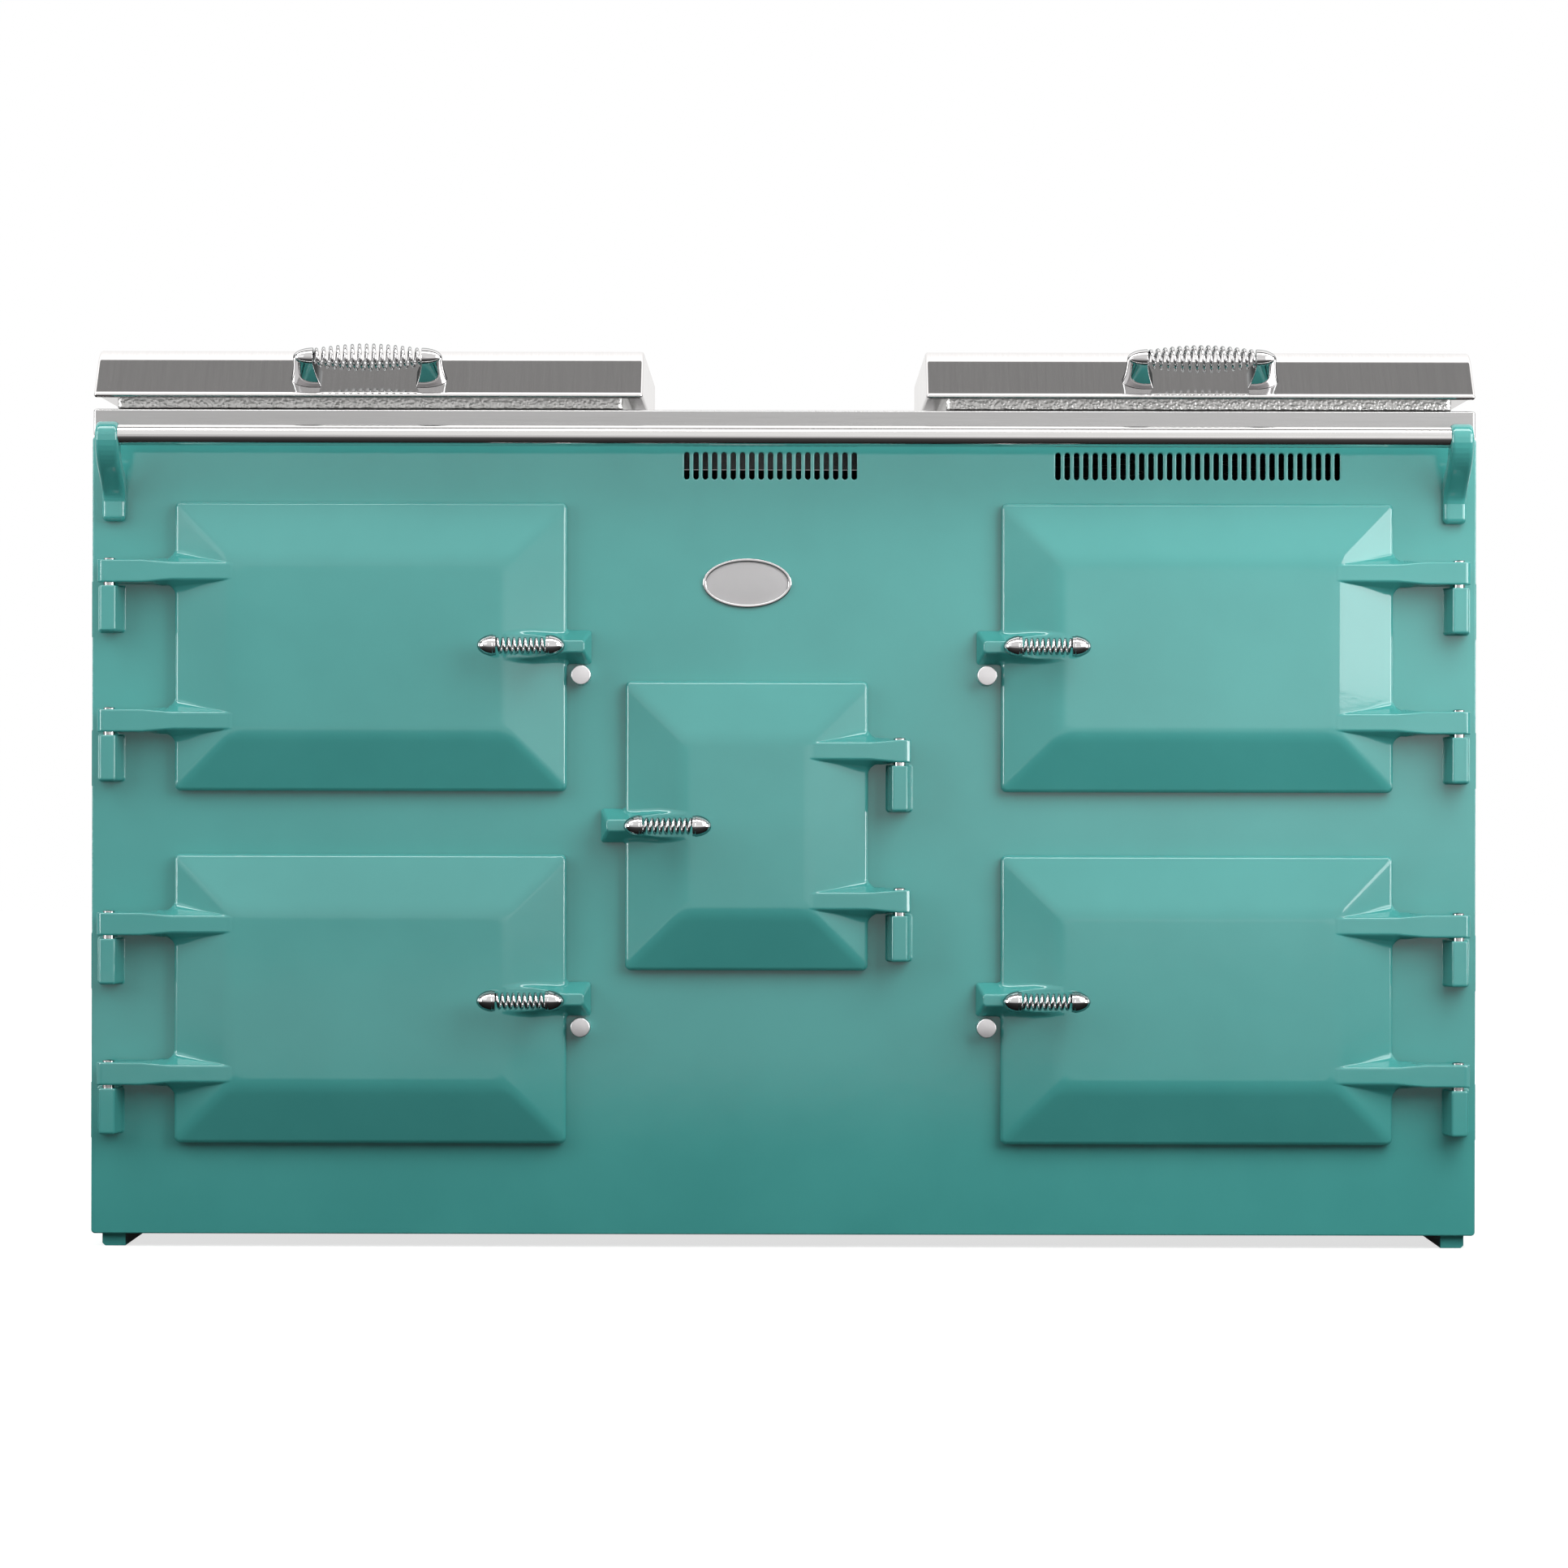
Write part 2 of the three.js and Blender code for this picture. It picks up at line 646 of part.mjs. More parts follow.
const LEAN = THREE.MathUtils.degToRad(LID_LEAN);
const LIP_Z = LID_BOTTOM + LID_LIP_R;
const LIP_TO_SLOPE = 110; // degrees round the rolled lip, where the slope leaves it
const SLOPE_START = arc(LID_LIP_R, LIP_Z, LID_LIP_R, LIP_TO_SLOPE, 360, 1)[0];

// Side view of a lid: back, flat top, bend, slope and rolled lip.
function lidProfile() {
  const [slopeY, slopeZ] = SLOPE_START;
  const bendZ = LID_TOP - LID_BEND_R;
  const bendY = slopeY + (LID_BEND_R + Math.sin(LEAN) * (bendZ - slopeZ)) / Math.cos(LEAN);
  const under = LID_BOTTOM + LID_UNDER;
  return outline([
    [LID_D, under],
    ...arc(LID_D - LID_REAR_R, LID_TOP - LID_REAR_R, LID_REAR_R, 0, 90, 3),
    ...arc(bendY, bendZ, LID_BEND_R, 90, 180 - LID_LEAN, 5),
    ...arc(LID_LIP_R, LIP_Z, LID_LIP_R, LIP_TO_SLOPE, 350, 6),
    [2 * LID_LIP_R, under],
  ]);
}

// Front view of a lid, with its upper side edges rounded.
function lidOutline() {
  const half = LID_W / 2;
  return outline([
    [half, LID_BOTTOM - PIERCE],
    ...arc(half - LID_SIDE_R, LID_TOP - LID_SIDE_R, LID_SIDE_R, 0, 90, 3),
    ...arc(LID_SIDE_R - half, LID_TOP - LID_SIDE_R, LID_SIDE_R, 90, 180, 3),
    [-half, LID_BOTTOM - PIERCE],
  ]);
}

// A hinge bracket on the hob: a foot and an ear with a hole for the lid's stub.
function lidBracket() {
  const low = HOB_TOP + SEAT;
  const foot = box(
    [-EAR_FOOT_W / 2, LID_AXIS_Y - EAR_R, low],
    [EAR_FOOT_W / 2, LID_AXIS_Y + EAR_FOOT_BACK, low + EAR_FOOT_T],
  );
  const side = outline([
    [LID_AXIS_Y + EAR_FOOT_BACK * EAR_HEEL, low + EAR_FOOT_T - EMBED],
    ...arc(LID_AXIS_Y, LID_AXIS_Z, EAR_R, EAR_BACK_FROM, 180, 6),
    [LID_AXIS_Y - EAR_R, low + EAR_FOOT_T - EMBED],
  ]);
  const ear = sidePrism(side, -EAR_T / 2, EAR_T / 2);
  const hole = bar("x", holeFor(LID_STUB_R, LID_STUB_SIDES), -EAR_T, EAR_T, LID_STUB_SIDES);
  return geometryOf(cut(join([foot, ear]), [hole.translate(0, LID_AXIS_Y, LID_AXIS_Z)]));
}

// A lid's rear knuckle at its right-hand end: web, barrel and a stub that enters the ear.
function lidKnuckle() {
  const x0 = LID_BARREL_X - LID_BARREL_L / 2;
  const x1 = LID_BARREL_X + LID_BARREL_L / 2;
  const along = (piece) => piece.translate(0, LID_AXIS_Y, LID_AXIS_Z);
  return [
    along(bar("x", LID_BARREL_R, x0, x1, LID_BARREL_SIDES)),
    along(bar("x", LID_STUB_R, x1 - EMBED, x1 + EAR_T + SEAT, LID_STUB_SIDES)),
    along(box([x0, LID_D - EMBED - LID_AXIS_Y, -LID_BARREL_R / 2], [x1, 0, LID_BARREL_R / 2])),
  ];
}

function lid() {
  const shell = solid(sidePrism(lidProfile(), -LID_W / 2, LID_W / 2)).intersect(
    solid(frontPrism(lidOutline(), -PIERCE, LID_D + PIERCE)),
  );
  const tray = box(
    [TRAY_INSET - LID_W / 2, TRAY_FRONT, PLATE_TOP + TRAY_GAP],
    [LID_W / 2 - TRAY_INSET, LID_D - TRAY_FRONT, LID_BOTTOM + LID_UNDER + EMBED],
  );
  const mirrored = lidKnuckle().map((piece) => facingOut(mergeVertices(piece.scale(-1, 1, 1))));
  const pieces = [tray, ...lidKnuckle(), ...mirrored].map(solid);
  return geometryOf(pieces.reduce((whole, piece) => whole.add(piece), shell));
}

// ---------------------------------------------------------------- handles

// A thumb-shaped leg: a D-section that rises off its base at y = 0 and closes as half an ellipsoid
// round the handle's axis. The flat side faces the coil, towards +X.
function handleLeg({ capL, capR, out, flare }) {
  const aboveAxis = [0.5, 0.8, 0.98].map((share) => ({
    y: -out - capR * share,
    flat: 0,
    size: Math.sqrt(1 - share * share),
  }));
  const levels = [
    { y: 0, flat: flare, size: LEG_BASE_SPREAD },
    { y: -out / 2, flat: flare / 2, size: LEG_MIDDLE_SPREAD },
    { y: -out, flat: 0, size: 1 },
    ...aboveAxis,
  ];
  const steps = 6;
  return loft(
    levels.map(({ y, flat, size }) =>
      Array.from({ length: steps + 1 }, (_, i) => {
        const angle = (Math.PI * i) / steps;
        return new THREE.Vector3(
          flat - size * capL * Math.sin(angle),
          y,
          size * capR * Math.cos(angle),
        );
      }),
    ),
  );
}

// The free end of a cantilevered handle: half an ellipsoid about the axis, its flat side towards -X.
function freeCap({ capL, capR, out }) {
  const rings = 3;
  const profile = [new THREE.Vector2(0, 0)];
  for (let i = 0; i < rings; i += 1) {
    const angle = (Math.PI / 2) * (i / rings);
    profile.push(new THREE.Vector2(capR * Math.cos(angle), capL * Math.sin(angle)));
  }
  profile.push(new THREE.Vector2(0, capL));
  return new THREE.LatheGeometry(profile, 12).rotateZ(-Math.PI / 2).translate(0, -out, 0);
}

// The centre line of a handle's coil: straight for one wire's diameter at both ends, which enter the
// caps squarely, and a helix between. Angles run from the front, downwards where hand is 1 and
// upwards where it is -1. The helix swells from endR to midR.
function coilPath({ coilL, turns, wireR, endR, midR, hand }) {
  const stepsPerTurn = 8;
  const straight = 2 * wireR;
  const helixStart = straight + wireR;
  const helixLength = coilL - 2 * helixStart;
  const at = (x, angle) => {
    const r = endR - wireR + (midR - endR) * Math.sin((Math.PI * x) / coilL);
    return new THREE.Vector3(x - coilL / 2, -r * Math.cos(angle), -r * hand * Math.sin(angle));
  };
  const steps = turns * stepsPerTurn;
  const turnOf = (i) => (2 * Math.PI * i) / stepsPerTurn;
  const lead = Math.PI / 6;
  const path = [at(0, -lead), at(straight, -lead)];
  for (let i = 0; i <= steps; i += 1) {
    path.push(at(helixStart + (helixLength * i) / steps, turnOf(i)));
  }
  path.push(at(coilL - straight, turnOf(steps) + lead), at(coilL, turnOf(steps) + lead));
  path.at(0).x -= wireR;
  path.at(-1).x += wireR;
  return path;
}

// One unbroken tube along a path.
function wireTube(path, radius, sides = 5) {
  const tangent = (i) =>
    new THREE.Vector3()
      .subVectors(path[Math.min(i + 1, path.length - 1)], path[Math.max(i - 1, 0)])
      .normalize();
  let normal = new THREE.Vector3(0, 0, 1);
  const loops = path.map((point, i) => {
    const along = i === 0 || i === path.length - 1 ? new THREE.Vector3(1, 0, 0) : tangent(i);
    normal = normal.sub(along.clone().multiplyScalar(normal.dot(along))).normalize();
    const across = new THREE.Vector3().crossVectors(along, normal);
    return Array.from({ length: sides }, (_, side) => {
      const angle = (2 * Math.PI * side) / sides;
      return point
        .clone()
        .addScaledVector(normal, radius * Math.cos(angle))
        .addScaledVector(across, radius * Math.sin(angle));
    });
  });
  return loft(loops);
}

// The least gap of a wire to itself, over points on its centre line more than half a turn apart.
function leastGap(path, radius) {
  const points = path.flatMap((point, i) =>
    i + 1 < path.length ? [point, point.clone().lerp(path[i + 1], 0.5)] : [point],
  );
  const apart = 10;
  let least = Infinity;
  points.forEach((point, i) => {
    for (let j = i + apart; j < points.length; j += 1) {
      least = Math.min(least, point.distanceTo(points[j]) - 2 * radius);
    }
  });
  return least;
}

// A handle: a coil between two chromed ends, centred on the coil. Its base lies at y = 0 and its
// axis at y = -out.
function handle(spec) {
  const half = spec.coilL / 2;
  const leg = handleLeg(spec).translate(-half, 0, 0);
  const far = spec.twoLegs ? handleLeg(spec).rotateY(Math.PI) : freeCap(spec);
  const path = coilPath(spec);
  const gap = leastGap(path, spec.wireR).toFixed(2);
  console.log(`${spec.turns} turns: least gap of the wire to itself ${gap} mm`);
  const coil = wireTube(path, spec.wireR).translate(0, -spec.out, 0);
  return geometryOf(join([leg, far.translate(half, 0, 0), coil]));
}

const DOOR_HANDLE = {
  capL: HANDLE_CAP_L,
  capR: HANDLE_CAP_R,
  out: HANDLE_Y - BOSS_Y - SEAT,
  flare: HANDLE_LEG_FLARE,
  coilL: HANDLE_COIL_L,
  turns: HANDLE_COIL_TURNS,
  wireR: HANDLE_WIRE_R,
  endR: HANDLE_COIL_R,
  midR: HANDLE_COIL_R,
  hand: -1,
  twoLegs: false,
};
const LID_HANDLE = {
  capL: LID_HANDLE_CAP_L,
  capR: LID_HANDLE_CAP_R,
  out: LID_HANDLE_OUT,
  flare: LID_LEG_FLARE,
  coilL: LID_COIL_L,
  turns: LID_COIL_TURNS,
  wireR: LID_WIRE_R,
  endR: LID_COIL_END_R,
  midR: LID_COIL_MID_R,
  hand: 1,
  twoLegs: true,
};

// ---------------------------------------------------------------- doors

// A hinge arm, from its end beyond the pin to where it runs out on the field. x is the distance
// from the pin, in towards the door. A section is half as high as flat at its front face and as
// half behind its edge.
function hingeArm(reach) {
  const half = ARM_H / 2;
  const root = ARM_ROOT_H / 2;
  const front = DOOR_FIELD_Y + ARM_PROUD;
  const back = front - ARM_T;
  const rootBack = ARM_ROOT_Y;
  const end = reach + ARM_RUN_IN;
  const sections = [
    { x: -ARM_END, front: front - ARM_TIP_BACK, back, flat: half - 2, half: half - 0.5, edge: 2 },
    { x: ARM_TIP_L - ARM_END, front, back, flat: half - 1.2, half, edge: 1.5 },
    { x: reach - ARM_NECK, front, back, flat: half - 1.8, half: half + 0.3, edge: 2.5 },
    { x: reach - 9, front, back, flat: half - 3, half: half + 1.6, edge: 5 },
    { x: reach - 2, front, back: rootBack, flat: half - 4, half: root - 1.5, edge: 9 },
    { x: reach + 3, front, back: rootBack, flat: half - 4, half: root, edge: 10 },
    { x: end, front: front - 1, back: rootBack, flat: half - 0.5, half: half + 0.2, edge: 1 },
  ];
  return loft(
    sections.map((s) =>
      [
        [s.front, s.flat],
        [s.front - s.edge, s.half],
        [s.back, s.half],
        [s.back, -s.half],
        [s.front - s.edge, -s.half],
        [s.front, -s.flat],
      ].map(([y, z]) => new THREE.Vector3(s.x, -y, z)),
    ),
  );
}

// The lug at the door's free edge, its sides sloping up to a narrow ridge.
function latchLug(edgeX) {
  const inside = edgeX - BOSS_INSET;
  const level = (y, out, half) =>
    [
      [inside, half],
      [edgeX + out, half],
      [edgeX + out, -half],
      [inside, -half],
    ].map(([x, z]) => new THREE.Vector3(x, -y, z));
  return loft([
    level(DOOR_STANDOFF, LUG_OUT, LUG_BASE_H / 2),
    level(DOOR_STANDOFF + LUG_BASE_T, LUG_OUT, LUG_BASE_H / 2),
    level(LUG_Y, LUG_OUT - LUG_RAKE, LUG_RIDGE_H / 2),
  ]);
}

// A door, hinged at x = 0 and reaching towards +X, its middle at z = 0.
function door({ w, h, reach, plug }) {
  const middle = reach + w / 2;
  const edgeX = reach + w;
  const rim = DOOR_STANDOFF + DOOR_RIM_T;
  const bevelRise = DOOR_FIELD_Y - rim;
  const leaf = layered(w, h, [
    [-DOOR_STANDOFF, 0, DOOR_CORNER_R],
    [DOOR_EDGE_R - rim, 0, DOOR_CORNER_R],
    [DOOR_EDGE_R * EDGE_MIDDLE - rim, DOOR_EDGE_W * EDGE_MIDDLE, DOOR_CORNER_R],
    [-rim, DOOR_EDGE_W, DOOR_CORNER_R - 1],
    [-rim - bevelRise * FIELD_EASE_RISE, DOOR_BEVEL_W * FIELD_EASE_RUN, FIELD_CORNER_R],
    [-DOOR_FIELD_Y, DOOR_BEVEL_W, FIELD_CORNER_R],
  ]).translate(middle, 0, 0);
  const plugInset = APERTURE_MARGIN + PLUG_CLEARANCE;
  const inner = layered(
    w - 2 * plugInset,
    h - 2 * plugInset,
    [
      [-DOOR_STANDOFF - EMBED, 0, PLUG_CORNER_R],
      [plug, PLUG_TAPER, PLUG_CORNER_R],
    ],
    2,
  ).translate(middle, 0, 0);
  const arms = armHeights({ h }).map((armZ) => hingeArm(reach).translate(0, 0, armZ));
  const bossH = BOSS_Y - BOSS_BASE_Y;
  const boss = new THREE.CylinderGeometry(BOSS_BASE_R, BOSS_TOP_R, bossH, BOSS_SIDES).translate(
    edgeX - BOSS_INSET,
    -BOSS_Y + bossH / 2,
    0,
  );
  const pinHoles = armHeights({ h }).map((armZ) =>
    bar("z", holeFor(PIN_R, PIN_SIDES), armZ - ARM_H, armZ + ARM_H, PIN_SIDES).translate(0, -PIN_Y, 0),
  );
  return geometryOf(cut(join([leaf, inner, boss, latchLug(edgeX), ...arms]), pinHoles));
}

// A hinge pin, fast in its arm, with its lower end in the post. z = 0 is the post's top.
function hingePin() {
  const top = HINGE_GAP + ARM_H + PIN_TOP;
  const profile = [
    [0, -PIN_DEPTH],
    [PIN_R, -PIN_DEPTH],
    [PIN_R, top - PIN_EDGE],
    [PIN_R - PIN_EDGE, top],
    [0, top],
  ].map(([r, z]) => new THREE.Vector2(r, z));
  return new THREE.LatheGeometry(profile, PIN_SIDES).rotateX(Math.PI / 2);
}

function catchStud() {
  const profile = [
    [0, 0],
    [STUD_R, 0],
    [STUD_R, STUD_Y - STUD_EDGE],
    [STUD_R - STUD_EDGE, STUD_Y],
    [0, STUD_Y],
  ].map(([r, out]) => new THREE.Vector2(r, out));
  return new THREE.LatheGeometry(profile, STUD_SIDES).rotateX(Math.PI);
}

// ---------------------------------------------------------------- ovens

const MOUTH = {
  w: apertureOf(OVEN_DOOR).w - 2 * LINER_STEP,
  h: apertureOf(OVEN_DOOR).h - 2 * LINER_STEP,
};
const runnerTop = (level) => RUNNER_FIRST + level * RUNNER_PITCH - MOUTH.h / 2;

// A cast oven box, open at the front, with a flange and shelf runners.
function ovenLiner() {
  const back = CASING_Y + LINER_D;
  const skin = layered(
    MOUTH.w + 2 * LINER_WALL,
    MOUTH.h + 2 * LINER_WALL,
    [
      [CASING_Y, 0, APERTURE_R + LINER_WALL],
      [back, 0, APERTURE_R + LINER_WALL],
    ],
    2,
  );
  const flange = layered(
    MOUTH.w + 2 * (LINER_WALL + LINER_FLANGE),
    MOUTH.h + 2 * (LINER_WALL + LINER_FLANGE),
    [
      [CASING_Y, 0, APERTURE_R],
      [CASING_Y + LINER_WALL, 0, APERTURE_R],
    ],
    1,
  );
  const hollow = layered(
    MOUTH.w,
    MOUTH.h,
    [
      [CASING_Y - PIERCE, 0, APERTURE_R],
      [back - LINER_WALL, 0, APERTURE_R],
    ],
    2,
  );
  const half = MOUTH.w / 2;
  const front = CASING_Y + RUNNER_SETBACK;
  const end = back - EMBED;
  const heights = Array.from({ length: RUNNER_LEVELS }, (_, level) => runnerTop(level));
  const runners = heights.flatMap((z) => [
    box([-half - EMBED, front, z - RUNNER_T], [RUNNER_OUT - half, end, z]),
    box([half - RUNNER_OUT, front, z - RUNNER_T], [half + EMBED, end, z]),
  ]);
  const shell = cut(join([skin, flange]), [hollow]);
  return geometryOf(runners.map(solid).reduce((whole, runner) => whole.add(runner), shell));
}

// A grid shelf: a frame with bars from front to back, lying on the lowest runners.
function ovenRack() {
  const w = MOUTH.w - 2 * (RUNNER_OUT - RACK_REST);
  const front = OVEN_PLUG_DEPTH + RACK_SETBACK;
  const back = front + RACK_D;
  const middle = (front + back) / 2;
  const low = runnerTop(0) + SEAT;
  const blank = new THREE.ExtrudeGeometry(roundedRect(w, RACK_D, RACK_FRAME, 2), {
    depth: RACK_T,
    bevelEnabled: false,
  }).translate(0, middle, low);
  const pitch = (w - 2 * RACK_FRAME + RACK_WIRE) / (RACK_BARS + 1);
  const gaps = Array.from({ length: RACK_BARS + 1 }, (_, i) => {
    const x = RACK_FRAME - w / 2 + i * pitch;
    return box(
      [x, front + RACK_FRAME, low - PIERCE],
      [x + pitch - RACK_WIRE, back - RACK_FRAME, low + RACK_T + PIERCE],
    );
  });
  return geometryOf(cut(solid(blank), gaps));
}

// ---------------------------------------------------------------- controls

const KNOB_PLATE_Y = TRAY_DEPTH; // front face of the plate that carries the knobs
const KNOBS = [
  { name: "knob_oven_upper_left", column: -1, row: 1 },
  { name: "knob_oven_upper_right", column: 1, row: 1 },
  { name: "knob_oven_lower_left", column: -1, row: 0 },
  { name: "knob_oven_lower_right", column: 1, row: 0 },
  { name: "knob_hot_plate", column: 0, row: -1 },
].map(({ name, column, row }) => ({
  name,
  x: doorX(CONTROLS) + (column * KNOB_COLUMN) / 2,
  z: CONTROLS.z + row * KNOB_ROW,
}));

// The tray behind the middle door, with a hole for each spindle.
function controlPanel() {
  const { w, h } = apertureOf(CONTROLS);
  const outer = layered(
    w + 2 * TRAY_WALL,
    h + 2 * TRAY_WALL,
    [
      [CASING_Y, 0, APERTURE_R],
      [KNOB_PLATE_Y + TRAY_WALL, 0, APERTURE_R],
    ],
    1,
  );
  const flange = layered(
    w + 2 * TRAY_FLANGE,
    h + 2 * TRAY_FLANGE,
    [
      [CASING_Y, 0, APERTURE_R],
      [CASING_Y + TRAY_WALL, 0, APERTURE_R],
    ],
    1,
  );
  const hollow = layered(
    w,
    h,
    [
      [CASING_Y - PIERCE, 0, APERTURE_R],
      [KNOB_PLATE_Y, 0, APERTURE_R],
    ],
    1,
  );
  const holeR = holeFor(SPINDLE_R, SPINDLE_SIDES);
  const holes = KNOBS.map(({ x, z }) =>
    bar("y", holeR, KNOB_PLATE_Y - PIERCE, KNOB_PLATE_Y + TRAY_WALL + PIERCE, SPINDLE_SIDES).translate(
      x - doorX(CONTROLS),
      0,
      z - CONTROLS.z,
    ),
  );
  return geometryOf(cut(join([outer, flange]), [hollow, ...holes]));
}

// A knob with its grip upright and its spindle through the plate. y = 0 is the plate's front face.
function knob() {
  const profile = [
    [0, -SPINDLE_L],
    [SPINDLE_R, -SPINDLE_L],
    [SPINDLE_R, SEAT],
    [KNOB_R, SEAT],
    [KNOB_R * KNOB_SHOULDER_R, KNOB_H * KNOB_SHOULDER_H],
    [KNOB_R * KNOB_TOP_R, KNOB_H],
    [0, KNOB_H],
  ].map(([r, out]) => new THREE.Vector2(r, out));
  const body = new THREE.LatheGeometry(profile, KNOB_SIDES).rotateX(Math.PI);
  const reach = KNOB_R * KNOB_GRIP_REACH;
  const grip = box(
    [-KNOB_GRIP_W / 2, -KNOB_H - KNOB_GRIP_H, -reach],
    [KNOB_GRIP_W / 2, EMBED - KNOB_H, reach],
  );
  return geometryOf(join([body, grip]));
}

// ---------------------------------------------------------------- hand rail

const BRACKET_X = PANEL_W / 2 - BRACKET_X_INSET;
const RAIL_END_X = BRACKET_X - BRACKET_W / 2 + RAIL_SOCKET;

// A tube, open at both ends, that enters its brackets.
function handRail() {
  const inner = RAIL_R - RAIL_WALL;
  const profile = [
    [inner, -RAIL_END_X],
    [RAIL_R, -RAIL_END_X],
    [RAIL_R, RAIL_END_X],
    [inner, RAIL_END_X],
    [inner, -RAIL_END_X],
  ].map(([r, along]) => new THREE.Vector2(r, along));
  return new THREE.LatheGeometry(profile, RAIL_SIDES).rotateZ(-Math.PI / 2);
}

// Side view of a rail bracket: a round head, a neck that sweeps down and back, and a foot on the panel.
function bracketProfile() {
  const footLow = RAIL_Z - BRACKET_DROP;
  const footHigh = footLow + BRACKET_FOOT_H;
  const headBack = BRACKET_HEAD_R - RAIL_Y;
  const headFront = -BRACKET_HEAD_R - RAIL_Y;
  const corner = BRACKET_CORNER_R;
  const point = (y, z) => new THREE.Vector2(y, z);
  const sweep = (...points) =>
    new THREE.CubicBezierCurve(...points).getPoints(5).map(({ x, y }) => [x, y]);
  return outline([
    [-SEAT, footLow + BRACKET_TOE],
    ...sweep(
      point(-SEAT, footHigh + NECK_HEEL_UP),
      point(-SEAT - 6, footHigh + NECK_HEEL_PULL),
      point(headBack, RAIL_Z - NECK_BACK_DROP),
      point(headBack, RAIL_Z),
    ),
    ...arc(-RAIL_Y, RAIL_Z, BRACKET_HEAD_R, 20, 160, 7),
    ...sweep(
      point(headFront, RAIL_Z),
      point(headFront, RAIL_Z - NECK_FRONT_DROP),
      point(-BRACKET_FOOT_T - 3, footHigh + NECK_HEEL_UP),
      point(-BRACKET_FOOT_T, footHigh - NECK_TOE_DOWN),
    ),
    ...arc(-BRACKET_FOOT_T + corner, footLow + corner, corner, 180, 270, 2),
    [-SEAT - BRACKET_TOE, footLow],
  ]);
}

// The left-hand bracket, its socket open towards +X.
function railBracket() {
  const body = new THREE.ExtrudeGeometry(bracketProfile(), {
    depth: BRACKET_W - 2 * BRACKET_EDGE,
    bevelThickness: BRACKET_EDGE,
    bevelSize: BRACKET_EDGE,
    bevelOffset: -BRACKET_EDGE,
    bevelSegments: 1,
  })
    .applyMatrix4(FACING_SIDE)
    .translate(BRACKET_EDGE - BRACKET_W / 2, 0, 0);
  const socketEnd = BRACKET_W / 2 - RAIL_SOCKET - SEAT;
  const socketR = holeFor(RAIL_R, SOCKET_SIDES);
  const mouth = BRACKET_W / 2 + PIERCE;
  const socket = bar("x", socketR, socketEnd, mouth, SOCKET_SIDES).translate(0, -RAIL_Y, RAIL_Z);
  return geometryOf(cut(solid(body), [socket]));
}

// ---------------------------------------------------------------- assembly

const cooker = new THREE.Group();

// Adds a named piece in its own finish and gives it back, so that it can be placed.
function add(name, geometry, material, [x, y, z] = [0, 0, 0]) {
  const mesh = new THREE.Mesh(geometry, material);
  mesh.name = name;
  mesh.position.set(x, y, z);
  cooker.add(mesh);
  return mesh;
}

add("front_panel", frontPanel(), enamel());
add("side_panel_left", sidePanel(), enamel(), [-CASING_W / 2, 0, 0]);
add("side_panel_right", sidePanel(), enamel(), [CASING_W / 2 - SHEET_T, 0, 0]);
add("back_panel", backPanel(), darkSheet());
add("base_frame", baseFrame(), enamel());
add("hob_top", hobTop(), brushedSteel());
add("hot_plate", hotPlate(), castIron(), [-LID_X, 0, 0]);
add("ceramic_hob", geometryOf(plateBlank(CERAMIC_UNIT_H)), blackGlass(), [LID_X, 0, 0]);

for (const oven of OVENS) {
  add(`oven_liner_${oven.place}`, ovenLiner(), castIron(), [doorX(oven), 0, oven.z]);
  add(`oven_rack_${oven.place}`, ovenRack(), chrome(), [doorX(oven), 0, oven.z]);
}

add("control_panel", controlPanel(), darkSheet(), [doorX(CONTROLS), 0, CONTROLS.z]);
for (const { name, x, z } of KNOBS) {
  add(name, knob(), blackPlastic(), [x, KNOB_PLATE_Y, z]);
}

add("hand_rail", handRail(), brushedSteel(), [0, -RAIL_Y, RAIL_Z]);
add("rail_bracket_left", railBracket(), enamel(), [-BRACKET_X, 0, 0]);
add("rail_bracket_right", railBracket(), enamel(), [BRACKET_X, 0, 0]).scale.x = -1;

for (const spec of DOORS) {
  const { place, side, pinX, z, reach, w } = spec;
  const coilX = reach + w - HANDLE_CAP_L - HANDLE_COIL_L / 2;
  add(`door_${place}`, door(spec), enamel(), [pinX, 0, z]).scale.x = side;
  armHeights(spec).forEach((armZ, i) => {
    const pin = i === 0 ? "top" : "bottom";
    add(`hinge_pin_${place}_${pin}`, hingePin(), brushedSteel(), [pinX, -PIN_Y, postTop(spec, armZ)]);
  });
  const seat = [pinX + side * coilX, -BOSS_Y - SEAT, z];
  add(`handle_${place}`, handle(DOOR_HANDLE), chrome(), seat).scale.x = -side;
}

for (const oven of OVENS) {
  const x = oven.pinX + oven.side * (oven.reach + oven.w + STUD_OUT);
  add(`catch_stud_${oven.place}`, catchStud(), brushedSteel(), [x, -SEAT, oven.z - STUD_DOWN]);
}

const legY = SLOPE_START[0] + LID_HANDLE_UP * Math.sin(LEAN) - SEAT * Math.cos(LEAN);
const legZ = SLOPE_START[1] + LID_HANDLE_UP * Math.cos(LEAN) + SEAT * Math.sin(LEAN);
const earX = LID_W / 2 - LID_HINGE_INSET - EAR_T / 2;
for (const [where, x, outward] of [
  ["left", -LID_X, -1],
  ["right", LID_X, 1],
]) {
  add(`lid_${where}`, lid(), brushedSteel(), [x, 0, 0]);
  add(`lid_handle_${where}`, handle(LID_HANDLE), chrome(), [x, legY, legZ]).rotation.x = -LEAN;
  add(`lid_bracket_${where}_outer`, lidBracket(), brushedSteel(), [x + outward * earX, 0, 0]);
  add(`lid_bracket_${where}_inner`, lidBracket(), brushedSteel(), [x - outward * earX, 0, 0]);
}

cooker.position.y = (FRONT_MOST - BODY_D) / 2;

const group = new THREE.Group();
group.add(cooker);

export default group;
